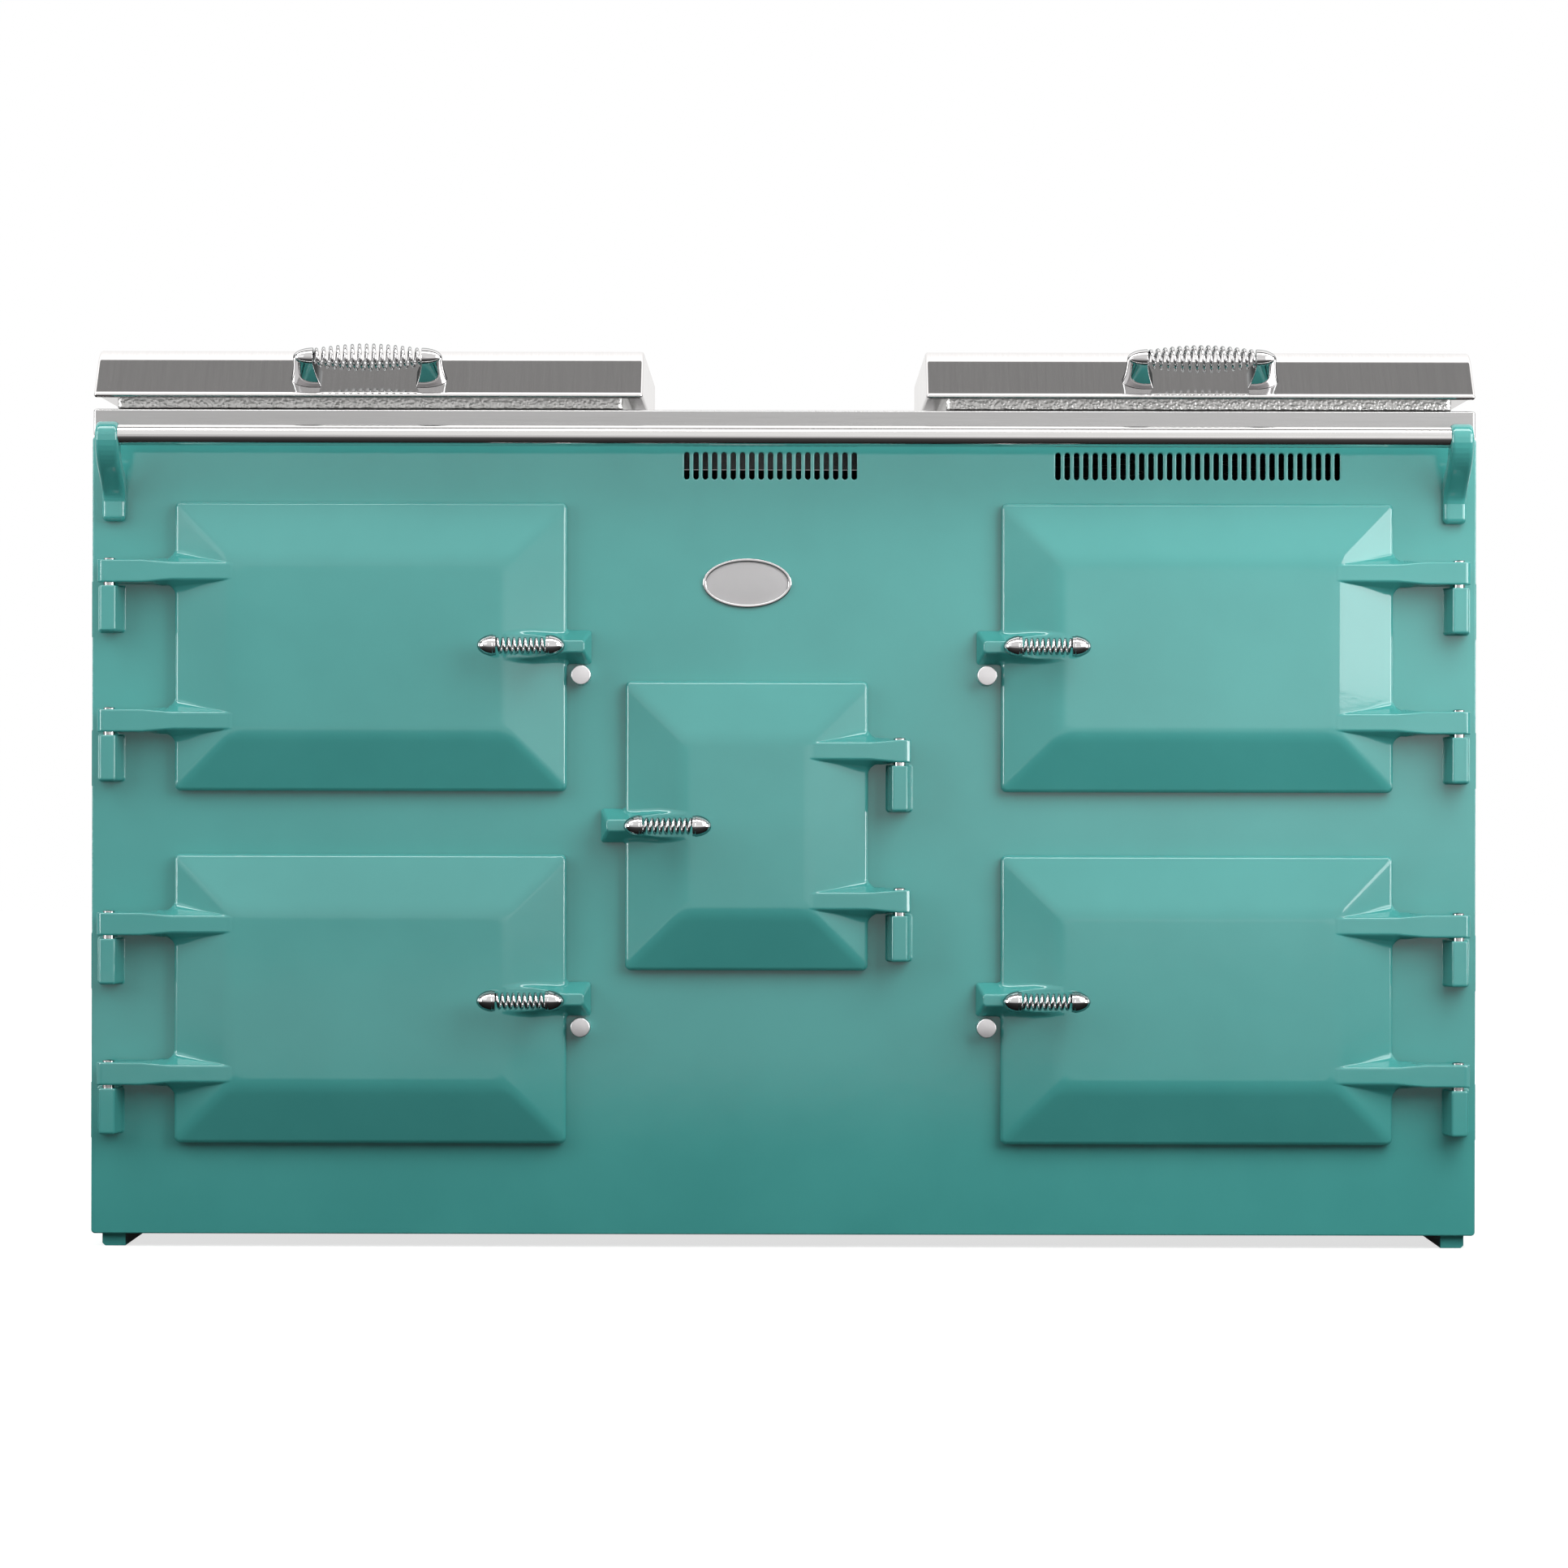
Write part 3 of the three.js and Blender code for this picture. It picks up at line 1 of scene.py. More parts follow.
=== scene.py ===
"""Looks of a cast iron range cooker: enamelled castings, brushed and polished steel, wound handles."""

from __future__ import annotations

import json
import logging
import math
from collections.abc import Callable, Iterable, Mapping, Sequence
from dataclasses import dataclass
from enum import Enum
from itertools import product
from typing import Any

import bmesh
import bpy
import numpy as np
from mathutils import Matrix, Vector


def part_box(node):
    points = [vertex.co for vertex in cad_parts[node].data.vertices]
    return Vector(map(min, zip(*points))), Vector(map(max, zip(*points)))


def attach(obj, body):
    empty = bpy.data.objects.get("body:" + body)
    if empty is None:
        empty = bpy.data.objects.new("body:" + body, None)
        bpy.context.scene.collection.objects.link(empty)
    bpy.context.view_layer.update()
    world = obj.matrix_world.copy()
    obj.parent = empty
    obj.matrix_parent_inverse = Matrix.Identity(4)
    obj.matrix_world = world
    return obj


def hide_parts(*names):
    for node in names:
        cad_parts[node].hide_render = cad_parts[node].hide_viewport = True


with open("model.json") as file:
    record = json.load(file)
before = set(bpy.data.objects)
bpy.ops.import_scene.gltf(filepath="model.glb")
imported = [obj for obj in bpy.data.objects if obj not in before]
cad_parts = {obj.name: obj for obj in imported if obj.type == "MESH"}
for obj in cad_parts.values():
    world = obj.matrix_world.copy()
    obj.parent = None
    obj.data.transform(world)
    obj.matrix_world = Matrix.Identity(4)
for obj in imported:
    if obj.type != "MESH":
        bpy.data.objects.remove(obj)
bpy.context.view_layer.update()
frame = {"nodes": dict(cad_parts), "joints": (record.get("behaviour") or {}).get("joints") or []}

log = logging.getLogger("cooker")

MM = 0.001
SEAT = 0.3  # between pieces that seat on each other, in millimetres
Array = np.ndarray
Field = Callable[[Array, Array, Array], Array]
Point = tuple[float, float, float]
Span = tuple[float, float]
WHITE = (1.0, 1.0, 1.0, 1.0)
STRAIGHT = np.eye(3) * MM  # a skin's axes as they are
OUTWARD = np.array([[1, 0, 0], [0, 0, -1], [0, 1, 0]], float) * MM  # its third axis out of the panel
MIRROR = np.diag([-1.0, 1.0, 1.0])  # its first axis the other way
UPRIGHT = Matrix.Rotation(math.pi / 2, 4, "X")  # stands a flat pattern up against the panel


# ---------------------------------------------------------------- where things are


def joint(name: str) -> dict[str, Any]:
    """The frame's joint of that name."""
    return next(j for j in frame["joints"] if j["name"] == name)


PIN_OUT = 22.0  # a hinge pin's axis in front of the panel
FACE_Y = joint("door_control_hinge")["pos_m"][1] + PIN_OUT * MM  # the front panel's face

LEFT_OVENS = ("upper_left", "lower_left")
RIGHT_OVENS = ("upper_right", "lower_right")
OVENS = LEFT_OVENS + RIGHT_OVENS


class Side(Enum):
    """Which way a door reaches from its hinges, or a lid lies from the middle."""

    LEFT = 1
    RIGHT = -1


# ---------------------------------------------------------------- trees of nodes


class Value:
    """A socket that takes part in arithmetic."""

    def __init__(self, maker: Nodes, socket: bpy.types.NodeSocket) -> None:
        """Keeps the socket and the tree it belongs to."""
        self.maker = maker
        self.socket = socket

    def math(self, operation: str, *terms: Any) -> Value:
        """One Math node on the given terms."""
        return self.maker.node("ShaderNodeMath", {"operation": operation}, dict(enumerate(terms)))

    def __add__(self, other: Any) -> Value:
        """Sum."""
        return self.math("ADD", self, other)

    __radd__ = __add__

    def __sub__(self, other: Any) -> Value:
        """Difference."""
        return self.math("SUBTRACT", self, other)

    def __rsub__(self, other: Any) -> Value:
        """Difference, from a number."""
        return self.math("SUBTRACT", other, self)

    def __mul__(self, other: Any) -> Value:
        """Product."""
        return self.math("MULTIPLY", self, other)

    __rmul__ = __mul__

    def __truediv__(self, other: Any) -> Value:
        """Quotient."""
        return self.math("DIVIDE", self, other)

    def sin(self) -> Value:
        """Sine, of radians."""
        return self.math("SINE", self)

    def cos(self) -> Value:
        """Cosine, of radians."""
        return self.math("COSINE", self)

    def size(self) -> Value:
        """How large it is, whatever its sign."""
        return self.math("ABSOLUTE", self)

    def least(self, other: Any) -> Value:
        """The smaller of two."""
        return self.math("MINIMUM", self, other)

    def most(self, other: Any) -> Value:
        """The larger of two."""
        return self.math("MAXIMUM", self, other)

    def between(self, low: float, high: float) -> Value:
        """0 below low, 1 above high, and a smooth rise from one to the other."""
        return self.maker.node(
            "ShaderNodeMapRange",
            {"interpolation_type": "SMOOTHSTEP"},
            {"Value": self, "From Min": low, "From Max": high},
        )


class Nodes:
    """A node tree that is built by calls."""

    def __init__(self, tree: bpy.types.NodeTree) -> None:
        """Keeps the tree."""
        self.tree = tree

    def node(
        self,
        kind: str,
        settings: Mapping[str, Any] | None = None,
        inputs: Mapping[int | str, Any] | None = None,
        out: int | str = 0,
    ) -> Value:
        """Adds a node.

        Args:
            kind: The node's type.
            settings: Its own settings, set first. "stops" fills a colour ramp.
            inputs: Values or links of its sockets, by name or number.
            out: The output to give back.

        Returns:
            The chosen output.
        """
        made = self.tree.nodes.new(kind)
        for key, value in (settings or {}).items():
            if key == "stops":
                self._fill(made.color_ramp, value)
            else:
                setattr(made, key, value)
        for key, value in (inputs or {}).items():
            socket = made.inputs[key]
            if isinstance(value, Value):
                self.tree.links.new(value.socket, socket)
            else:
                socket.default_value = value
        return Value(self, made.outputs[out])

    def vectors(self, operation: str, a: Any, b: Any) -> Value:
        """One Vector Math node on two terms."""
        return self.node("ShaderNodeVectorMath", {"operation": operation}, {0: a, 1: b})

    def rays(self, *kinds: str) -> Value:
        """1 for a ray of one of these kinds, and 0 for any other."""
        path = self.tree.nodes.new("ShaderNodeLightPath")
        seen, *others = (Value(self, path.outputs[f"Is {kind} Ray"]) for kind in kinds)
        for other in others:
            seen = seen.most(other)
        return seen

    @staticmethod
    def _fill(ramp: bpy.types.ColorRamp, stops: Sequence[tuple[float, tuple[float, ...]]]) -> None:
        """Sets a ramp's stops, each a place and a colour."""
        while len(ramp.elements) < len(stops):
            ramp.elements.new(1.0)
        for element, (place, colour) in zip(ramp.elements, sorted(stops), strict=True):
            element.position = place
            element.color = (*colour[:3], 1.0)


class Shader(Nodes):
    """A material on Object coordinates, built by calls."""

    def __init__(self, name: str) -> None:
        """Starts an empty material of that name."""
        self.material = bpy.data.materials.new(name)
        self.material.use_nodes = True
        super().__init__(self.material.node_tree)
        self.tree.nodes.clear()

    def here(self) -> Value:
        """Object coordinates, in metres."""
        return self.node("ShaderNodeTexCoord", out="Object")

    def place(self, scale: Point = (1.0, 1.0, 1.0)) -> Value:
        """Object coordinates, stretched by a factor along each axis."""
        return self.vectors("MULTIPLY", self.here(), scale)

    def axis(self, which: int) -> Value:
        """One of the coordinates."""
        return self.node("ShaderNodeSeparateXYZ", inputs={0: self.here()}, out=which)

    def noise(self, scale: float, detail: float = 2.0, stretch: Point = (1.0, 1.0, 1.0)) -> Value:
        """Noise from 0 to 1 with about scale features a metre."""
        return self.node(
            "ShaderNodeTexNoise",
            inputs={"Vector": self.place(stretch), "Scale": scale, "Detail": detail, "Roughness": 0.55},
        )

    def cells(self, scale: float, smooth: bool = False) -> Value:
        """Distance to the nearest of scattered points, scale of them a metre."""
        settings = {"feature": "SMOOTH_F1" if smooth else "F1"}
        return self.node(
            "ShaderNodeTexVoronoi", settings, {"Vector": self.place(), "Scale": scale}, out="Distance"
        )

    def away(self, centre: Point) -> Value:
        """Distance from the upright line through a point."""
        flat = self.vectors("MULTIPLY", self.vectors("SUBTRACT", self.here(), centre), (1.0, 1.0, 0.0))
        return self.node("ShaderNodeVectorMath", {"operation": "LENGTH"}, {0: flat}, out="Value")

    def mix(self, factor: Value, low: Any, high: Any) -> Value:
        """A colour between two, as the factor goes from 0 to 1."""
        return self.node(
            "ShaderNodeMix",
            {"data_type": "RGBA"},
            {0: factor, 6: self._colour(low), 7: self._colour(high)},
            out=2,
        )

    @staticmethod
    def _colour(value: Any) -> Any:
        """A colour with its alpha, or the socket as it is."""
        return value if isinstance(value, Value) else (*value[:3], 1.0)

    def bump(self, height: Value, distance: float, under: Value | None = None) -> Value:
        """A normal for a height from 0 to 1 that stands for distance metres."""
        inputs: dict[int | str, Any] = {"Height": height, "Distance": distance, "Strength": 1.0}
        if under is not None:
            inputs["Normal"] = under
        return self.node("ShaderNodeBump", inputs=inputs)

    def finish(self, **sockets: Any) -> bpy.types.Material:
        """Ends in a Principled BSDF with the given sockets, their spaces as underscores."""
        named = {
            key.replace("_", " "): self._colour(value) if key == "Base_Color" else value
            for key, value in sockets.items()
        }
        surface = self.node("ShaderNodeBsdfPrincipled", inputs=named)
        self.end(surface)
        return self.material

    def end(self, surface: Value) -> None:
        """Links a surface to the output."""
        output = self.tree.nodes.new("ShaderNodeOutputMaterial")
        self.tree.links.new(surface.socket, output.inputs["Surface"])

    def glow(self, colour: Any, strength: Any) -> Value:
        """Plain light of a colour."""
        return self.node("ShaderNodeEmission", inputs={"Color": colour, "Strength": strength})


# ---------------------------------------------------------------- finishes


def scaled(colour: Point, factor: float) -> Point:
    """A colour made darker or lighter by a factor."""
    return tuple(factor * c for c in colour)


@dataclass(frozen=True)
class Enamel:
    """Vitreous enamel fired on iron: a deep gloss with a slow ripple."""

    colour: Point = (0.074, 0.388, 0.362)
    deep: Point = (0.066, 0.360, 0.336)
    gloss: float = 0.05
    ripple: float = 1.5e-5

    def material(self) -> bpy.types.Material:
        """Builds the material."""
        s = Shader("enamel_teal")
        cloud = s.noise(7.0, 3.0)
        peel = s.noise(300.0, 1.0, (0.45, 1.0, 1.0))
        swell = s.noise(38.0, 1.0)
        pits = s.cells(190.0)
        base = s.mix(cloud.between(0.25, 0.75), self.deep, self.colour)
        base = s.mix(pits.between(0.0, 0.05), scaled(self.deep, 0.82), base)
        relief = s.bump(swell, 5.0 * self.ripple, s.bump(peel, self.ripple))
        return s.finish(Base_Color=base, Roughness=self.gloss + 0.05 * cloud, Normal=relief, IOR=1.65)


class Grain(Enum):
    """The way the brush went: the factors that shorten the noise across it."""

    ALONG_X = (0.02, 1.0, 1.0)
    UP_THE_SLOPE = (1.0, 0.02, 0.02)
    ALONG_Y = (1.0, 0.015, 1.0)


@dataclass(frozen=True)
class BrushedSteel:
    """Stainless steel with a fine grain one way."""

    name: str
    grain: Grain
    colour: Point = (0.56, 0.55, 0.54)
    gloss: float = 0.27
    depth: float = 1.2e-5

    def material(self) -> bpy.types.Material:
        """Builds the material."""
        s = Shader(self.name)
        hairs = s.noise(1500.0, 3.0, self.grain.value)
        streaks = s.noise(190.0, 2.0, self.grain.value)
        smudge = s.noise(11.0, 4.0)
        tone = 0.6 * hairs + 0.4 * streaks
        base = s.mix(tone.between(0.3, 0.7), scaled(self.colour, 0.93), self.colour)
        rough = self.gloss + 0.08 * (tone - 0.5) + 0.04 * smudge
        return s.finish(
            Base_Color=base, Metallic=1.0, Roughness=rough, Normal=s.bump(hairs, self.depth), IOR=1.45
        )


@dataclass(frozen=True)
class Polished:
    """Plated or buffed metal, with the faintest wipe marks and a painted reflection: a dark teal-grey tint
    on its grazing reflections.
    """

    name: str
    colour: Point = (0.56, 0.555, 0.56)
    gloss: float = 0.035
    marks: float = 0.05
    # rim: the edge tint of the reflection, dark teal grey, a painted reflection of the enamel beside the
    # chrome
    rim: Point = (0.30, 0.33, 0.33)

    def material(self) -> bpy.types.Material:
        """Builds the material."""
        s = Shader(self.name)
        smudge = s.noise(60.0, 4.0)
        wipe = s.noise(420.0, 2.0, (1.0, 1.0, 0.15))
        base = s.mix(smudge, scaled(self.colour, 0.95), self.colour)
        rough = self.gloss + self.marks * smudge.between(0.5, 0.85) + 0.02 * wipe
        relief = s.bump(wipe, 2.0e-6)
        # painted reflection: the dark teal-grey edge tint darkens the grazing reflections
        painted_edge_reflection = (*self.rim, 1.0)
        return s.finish(Base_Color=base, Metallic=1.0, Roughness=rough, Normal=relief, Specular_Tint=painted_edge_reflection)


@dataclass(frozen=True)
class TurnedSteel:
    """Turned steel with a satin face, such as the heads of the catches."""

    name: str
    colour: Point = (0.74, 0.73, 0.74)
    gloss: float = 0.34

    def material(self) -> bpy.types.Material:
        """Builds the material."""
        s = Shader(self.name)
        fine = s.noise(2400.0, 2.0)
        cloud = s.noise(120.0, 3.0)
        base = s.mix(cloud, scaled(self.colour, 0.94), self.colour)
        rough = self.gloss + 0.12 * (fine - 0.5)
        return s.finish(Base_Color=base, Metallic=1.0, Roughness=rough, Normal=s.bump(fine, 4.0e-6))


@dataclass(frozen=True)
class Stucco:
    """Sheet embossed all over with small soft pebbles, with painted shade making it darker in the hollows
    between them.
    """

    colour: Point = (0.74, 0.74, 0.73)
    pitch: float = 330.0

    def material(self) -> bpy.types.Material:
        """Builds the material."""
        s = Shader("stucco_sheet")
        pebbles = s.cells(self.pitch, smooth=True)
        fine = s.noise(900.0, 2.0)
        # painted shade: the colour darkens away from each pebble's crown into the hollows between the
        # pebbles
        base = s.mix(pebbles.between(0.1, 0.6), self.colour, scaled(self.colour, 0.82))
        relief = s.bump(1.0 - pebbles, 0.0011, s.bump(fine, 1.0e-5))
        return s.finish(Base_Color=base, Metallic=1.0, Roughness=0.3 + 0.1 * fine, Normal=relief)


@dataclass(frozen=True)
class MachinedPlate:
    """A cast plate with a ground top: fine circles about two centres, darker where it has been heated."""

    centres: tuple[Point, Point]

    def material(self) -> bpy.types.Material:
        """Builds the material."""
        s = Shader("ground_iron")
        near = s.away(self.centres[0]).least(s.away(self.centres[1]))
        rings = (near * 5200.0).sin() * 0.5 + 0.5
        sand = s.noise(500.0, 3.0)
        heat = s.noise(9.0, 4.0)
        glow = (1.0 - near.between(0.02, 0.16)) * heat.between(0.3, 0.7)
        base = s.mix(glow, (0.10, 0.098, 0.096), (0.055, 0.050, 0.049))
        relief = s.bump(rings * 0.6 + sand * 0.4, 1.4e-5)
        return s.finish(Base_Color=base, Metallic=0.8, Roughness=0.34 + 0.2 * sand, Normal=relief)


@dataclass(frozen=True)
class GlassCeramic:
    """Black glass-ceramic with printed rings where the heat comes through."""

    zones: tuple[tuple[Point, float], ...]

    def material(self) -> bpy.types.Material:
        """Builds the material."""
        s = Shader("glass_ceramic")
        print_mask: Value | float = 0.0
        for centre, radius in self.zones:
            away = s.away(centre)
            off, inner = (away - radius).size(), (away - radius * 0.82).size()
            ring = (1.0 - off.between(0.0011, 0.0015)).most((1.0 - inner.between(0.0004, 0.0007)) * 0.6)
            print_mask = ring if isinstance(print_mask, float) else print_mask.most(ring)
        dots = s.cells(420.0)
        speck = 1.0 - dots.between(0.10, 0.16)
        base = s.mix(speck * 0.35, (0.006, 0.006, 0.007), (0.10, 0.10, 0.105))
        base = s.mix(print_mask, base, (0.42, 0.42, 0.43))
        return s.finish(Base_Color=base, Roughness=0.04 + 0.25 * print_mask, IOR=1.54)


@dataclass(frozen=True)
class SatinPaint:
    """Powder paint or moulded plastic: a low sheen over a fine texture."""

    name: str
    colour: Point
    gloss: float = 0.42
    texture: float = 2.5e-5
    scale: float = 1100.0
    specks: float = 0.0

    def material(self) -> bpy.types.Material:
        """Builds the material."""
        s = Shader(self.name)
        fine = s.noise(self.scale, 2.0)
        cloud = s.noise(14.0, 3.0)
        light = tuple(min(1.0, 1.25 * c + 0.004) for c in self.colour)
        base = s.mix(cloud, self.colour, light)
        if self.specks > 0.0:
            dots = 1.0 - s.cells(260.0).between(0.08, 0.14)
            base = s.mix(dots * self.specks, base, (0.45, 0.45, 0.44))
        return s.finish(
            Base_Color=base, Roughness=self.gloss + 0.12 * (fine - 0.5), Normal=s.bump(fine, self.texture)
        )


@dataclass(frozen=True)
class GlassRope:
    """Braided glass-fibre cord."""

    colour: Point = (0.055, 0.052, 0.048)

    def material(self) -> bpy.types.Material:
        """Builds the material."""
        s = Shader("glass_rope")
        strands = s.noise(1300.0, 3.0)
        braid = s.cells(650.0, smooth=True)
        base = s.mix(strands.between(0.3, 0.7), self.colour, scaled(self.colour, 2.6))
        relief = s.bump(strands, 1.2e-4, s.bump(1.0 - braid, 2.5e-4))
        return s.finish(Base_Color=base, Roughness=0.82 + 0.1 * strands, Normal=relief)


ENAMEL = Enamel().material()
STEEL_FLAT = BrushedSteel("steel_grain_along", Grain.ALONG_X, (0.42, 0.42, 0.42), 0.22, 2.0e-6).material()
STEEL_RAIL = BrushedSteel("steel_rail", Grain.ALONG_X, (0.66, 0.655, 0.65), 0.10, 4.0e-6).material()
STEEL_LID = BrushedSteel("steel_lid", Grain.UP_THE_SLOPE, (0.62, 0.61, 0.61), 0.07, 1.2e-5).material()
CHROME = Polished("chrome").material()
PIN_STEEL = Polished("pin_steel", (0.45, 0.45, 0.45), 0.12, 0.1).material()
STUD_STEEL = TurnedSteel("stud_steel").material()
STUCCO = Stucco().material()
LINER_IRON = SatinPaint("liner_enamel", (0.018, 0.018, 0.019), 0.3, 5.0e-5, 700.0, 0.5).material()
DARK_SHEET = SatinPaint("dark_sheet", (0.045, 0.048, 0.050)).material()
KNOB_BLACK = SatinPaint("knob_black", (0.012, 0.012, 0.012), 0.38, 1.5e-5, 1900.0).material()
WHITE_PRINT = SatinPaint("white_print", (0.75, 0.75, 0.74), 0.5, 1.0e-6).material()
ROPE = GlassRope().material()
PLUG_STEEL = BrushedSteel("plug_steel", Grain.ALONG_X, (0.5, 0.5, 0.5), 0.34).material()
BADGE_FIELD = SatinPaint("badge_field", (0.47, 0.46, 0.465), 0.33, 3.0e-5, 900.0).material()


# ---------------------------------------------------------------- blended solids


def rounded_max(a: Array, b: Array, r: float | Array) -> Array:
    """Where both hold, with the edge between them rounded."""
    return np.minimum(np.maximum(a, b), -r) + np.hypot(np.maximum(a + r, 0.0), np.maximum(b + r, 0.0))


def filleted_min(a: Array, b: Array, r: float | Array) -> Array:
    """Where either holds, with the corner between them filled."""
    return np.maximum(np.minimum(a, b), r) - np.hypot(np.maximum(r - a, 0.0), np.maximum(r - b, 0.0))


def soft_min(a: Array, b: Array | float, k: float) -> Array:
    """The smaller of two, eased where they meet."""
    h = np.clip(0.5 + 0.5 * (b - a) / k, 0.0, 1.0)
    return b + (a - b) * h - k * h * (1.0 - h)


def box_distance(p: Array, q: Array, r: float) -> Array:
    """Distance to a rectangle with corners of radius r, from how far past their centres points are."""
    return np.hypot(np.maximum(p, 0.0), np.maximum(q, 0.0)) + np.minimum(np.maximum(p, q), 0.0) - r


def step_between(x: Array, low: float, high: float) -> Array:
    """0 below low, 1 above high, smooth between."""
    t = np.clip((x - low) / (high - low), 0.0, 1.0)
    return t * t * (3.0 - 2.0 * t)


def outline_distance(outline: Sequence[Span], p: Array, q: Array) -> Array:
    """Distance from points to a closed outline, negative inside."""
    best: Array = np.full(np.broadcast(p, q).shape, 1e9)
    inside = np.zeros(best.shape, bool)
    for (ax, ay), (bx, by) in zip(outline, [*outline[1:], outline[0]], strict=True):
        ex, ey = bx - ax, by - ay
        t = np.clip(((p - ax) * ex + (q - ay) * ey) / (ex * ex + ey * ey + 1e-12), 0.0, 1.0)
        best = np.minimum(best, (p - ax - ex * t) ** 2 + (q - ay - ey * t) ** 2)
        if abs(ey) > 1e-9:
            inside ^= ((ay > q) != (by > q)) & (p < ex * (q - ay) / ey + ax)
    return np.where(inside, -1.0, 1.0) * np.sqrt(best)


def arc(cx: float, cy: float, r: float, start: float, end: float, steps: int) -> list[Span]:
    """Points along an arc, both ends included, with its angles in degrees."""
    angles = np.radians(np.linspace(start, end, steps + 1))
    return [(cx + r * math.cos(a), cy + r * math.sin(a)) for a in angles]


def sweep(a: Span, b: Span, c: Span, d: Span, steps: int = 18) -> list[Span]:
    """Points along a cubic Bezier curve."""
    out = []
    for t in np.linspace(0.0, 1.0, steps + 1):
        w = ((1 - t) ** 3, 3 * t * (1 - t) ** 2, 3 * t * t * (1 - t), t**3)
        out.append(tuple(sum(k * p[i] for k, p in zip(w, (a, b, c, d), strict=True)) for i in (0, 1)))
    return out


def ruling(
    low: float, high: float, spots: Iterable[Span], fine: float, coarse: float, growth: float = 0.3
) -> Array:
    """Marks from low to high, fine inside the given spots and wider away from them."""
    near = list(spots)
    marks = [low]
    while marks[-1] < high:
        x = marks[-1]
        away = min(max(a - x, x - b, 0.0) for a, b in near)
        marks.append(x + min(fine + growth * away, coarse))
    line = np.array(marks)
    return low + (line - low) * (high - low) / (line[-1] - low)


def rimmed(half: float, rim: float, fine: float, coarse: float, spots: Iterable[Span] = ()) -> Array:
    """Marks across a span about 0 and 1 mm past it, fine in its rims and the given spots."""
    rims = [(-half - 1, rim - half), (half - rim, half + 1)]
    return ruling(-half - 1, half + 1, [*rims, *spots], fine, coarse)


def by_mode(full: float) -> float:
    return full


@dataclass
class Skin:
    """A closed surface: points, faces as lists of points' numbers, and a normal at each point."""

    points: Array
    faces: list[Sequence[int]]
    normals: Array

    def placed(self, axes: Array, origin: Array) -> Skin:
        """The skin in other axes.

        Args:
            axes: A 3 by 3 array whose columns are where the skin's own axes go.
            origin: Where its origin goes.

        Returns:
            The moved skin, turned the right way out.
        """
        normals = self.normals @ np.linalg.inv(axes)
        normals /= np.linalg.norm(normals, axis=1, keepdims=True)
        faces = self.faces
        if np.linalg.det(axes) < 0:
            faces = [face[::-1] for face in faces]
        return Skin(self.points @ axes.T + origin, faces, normals)

    def flattened(self, axis: int, level: float) -> Skin:
        """The skin with its flat side at that level made one face."""
        on = np.abs(self.points[:, axis] - level) < 1e-3
        flat = [f for f in self.faces if all(on[i] for i in f)]
        rest = [f for f in self.faces if not all(on[i] for i in f)]
        if not flat:
            return self
        edges: dict[tuple[int, int], None] = {}
        for face in flat:
            for a, b in zip(face, [*face[1:], face[0]], strict=True):
                if (b, a) in edges:
                    del edges[(b, a)]
                else:
                    edges[(a, b)] = None
        following = dict(edges.keys())
        start = next(iter(following))
        loop = [start]
        while (after := following[loop[-1]]) != start:
            loop.append(after)
        if len(loop) != len(following):
            return self
        return Skin(self.points, [*rest, loop], self.normals).trimmed()

    def trimmed(self) -> Skin:
        """The skin without points that no face uses."""
        used = np.zeros(len(self.points), bool)
        for face in self.faces:
            used[list(face)] = True
        number = np.cumsum(used) - 1
        faces = [[int(number[i]) for i in face] for face in self.faces]
        return Skin(self.points[used], faces, self.normals[used])


def together(skins: Iterable[Skin]) -> Skin:
    """Several skins as one."""
    points, faces, normals, count = [], [], [], 0
    for skin in skins:
        points.append(skin.points)
        normals.append(skin.normals)
        faces.extend([[i + count for i in face] for face in skin.faces])
        count += len(skin.points)
    return Skin(np.concatenate(points), faces, np.concatenate(normals))


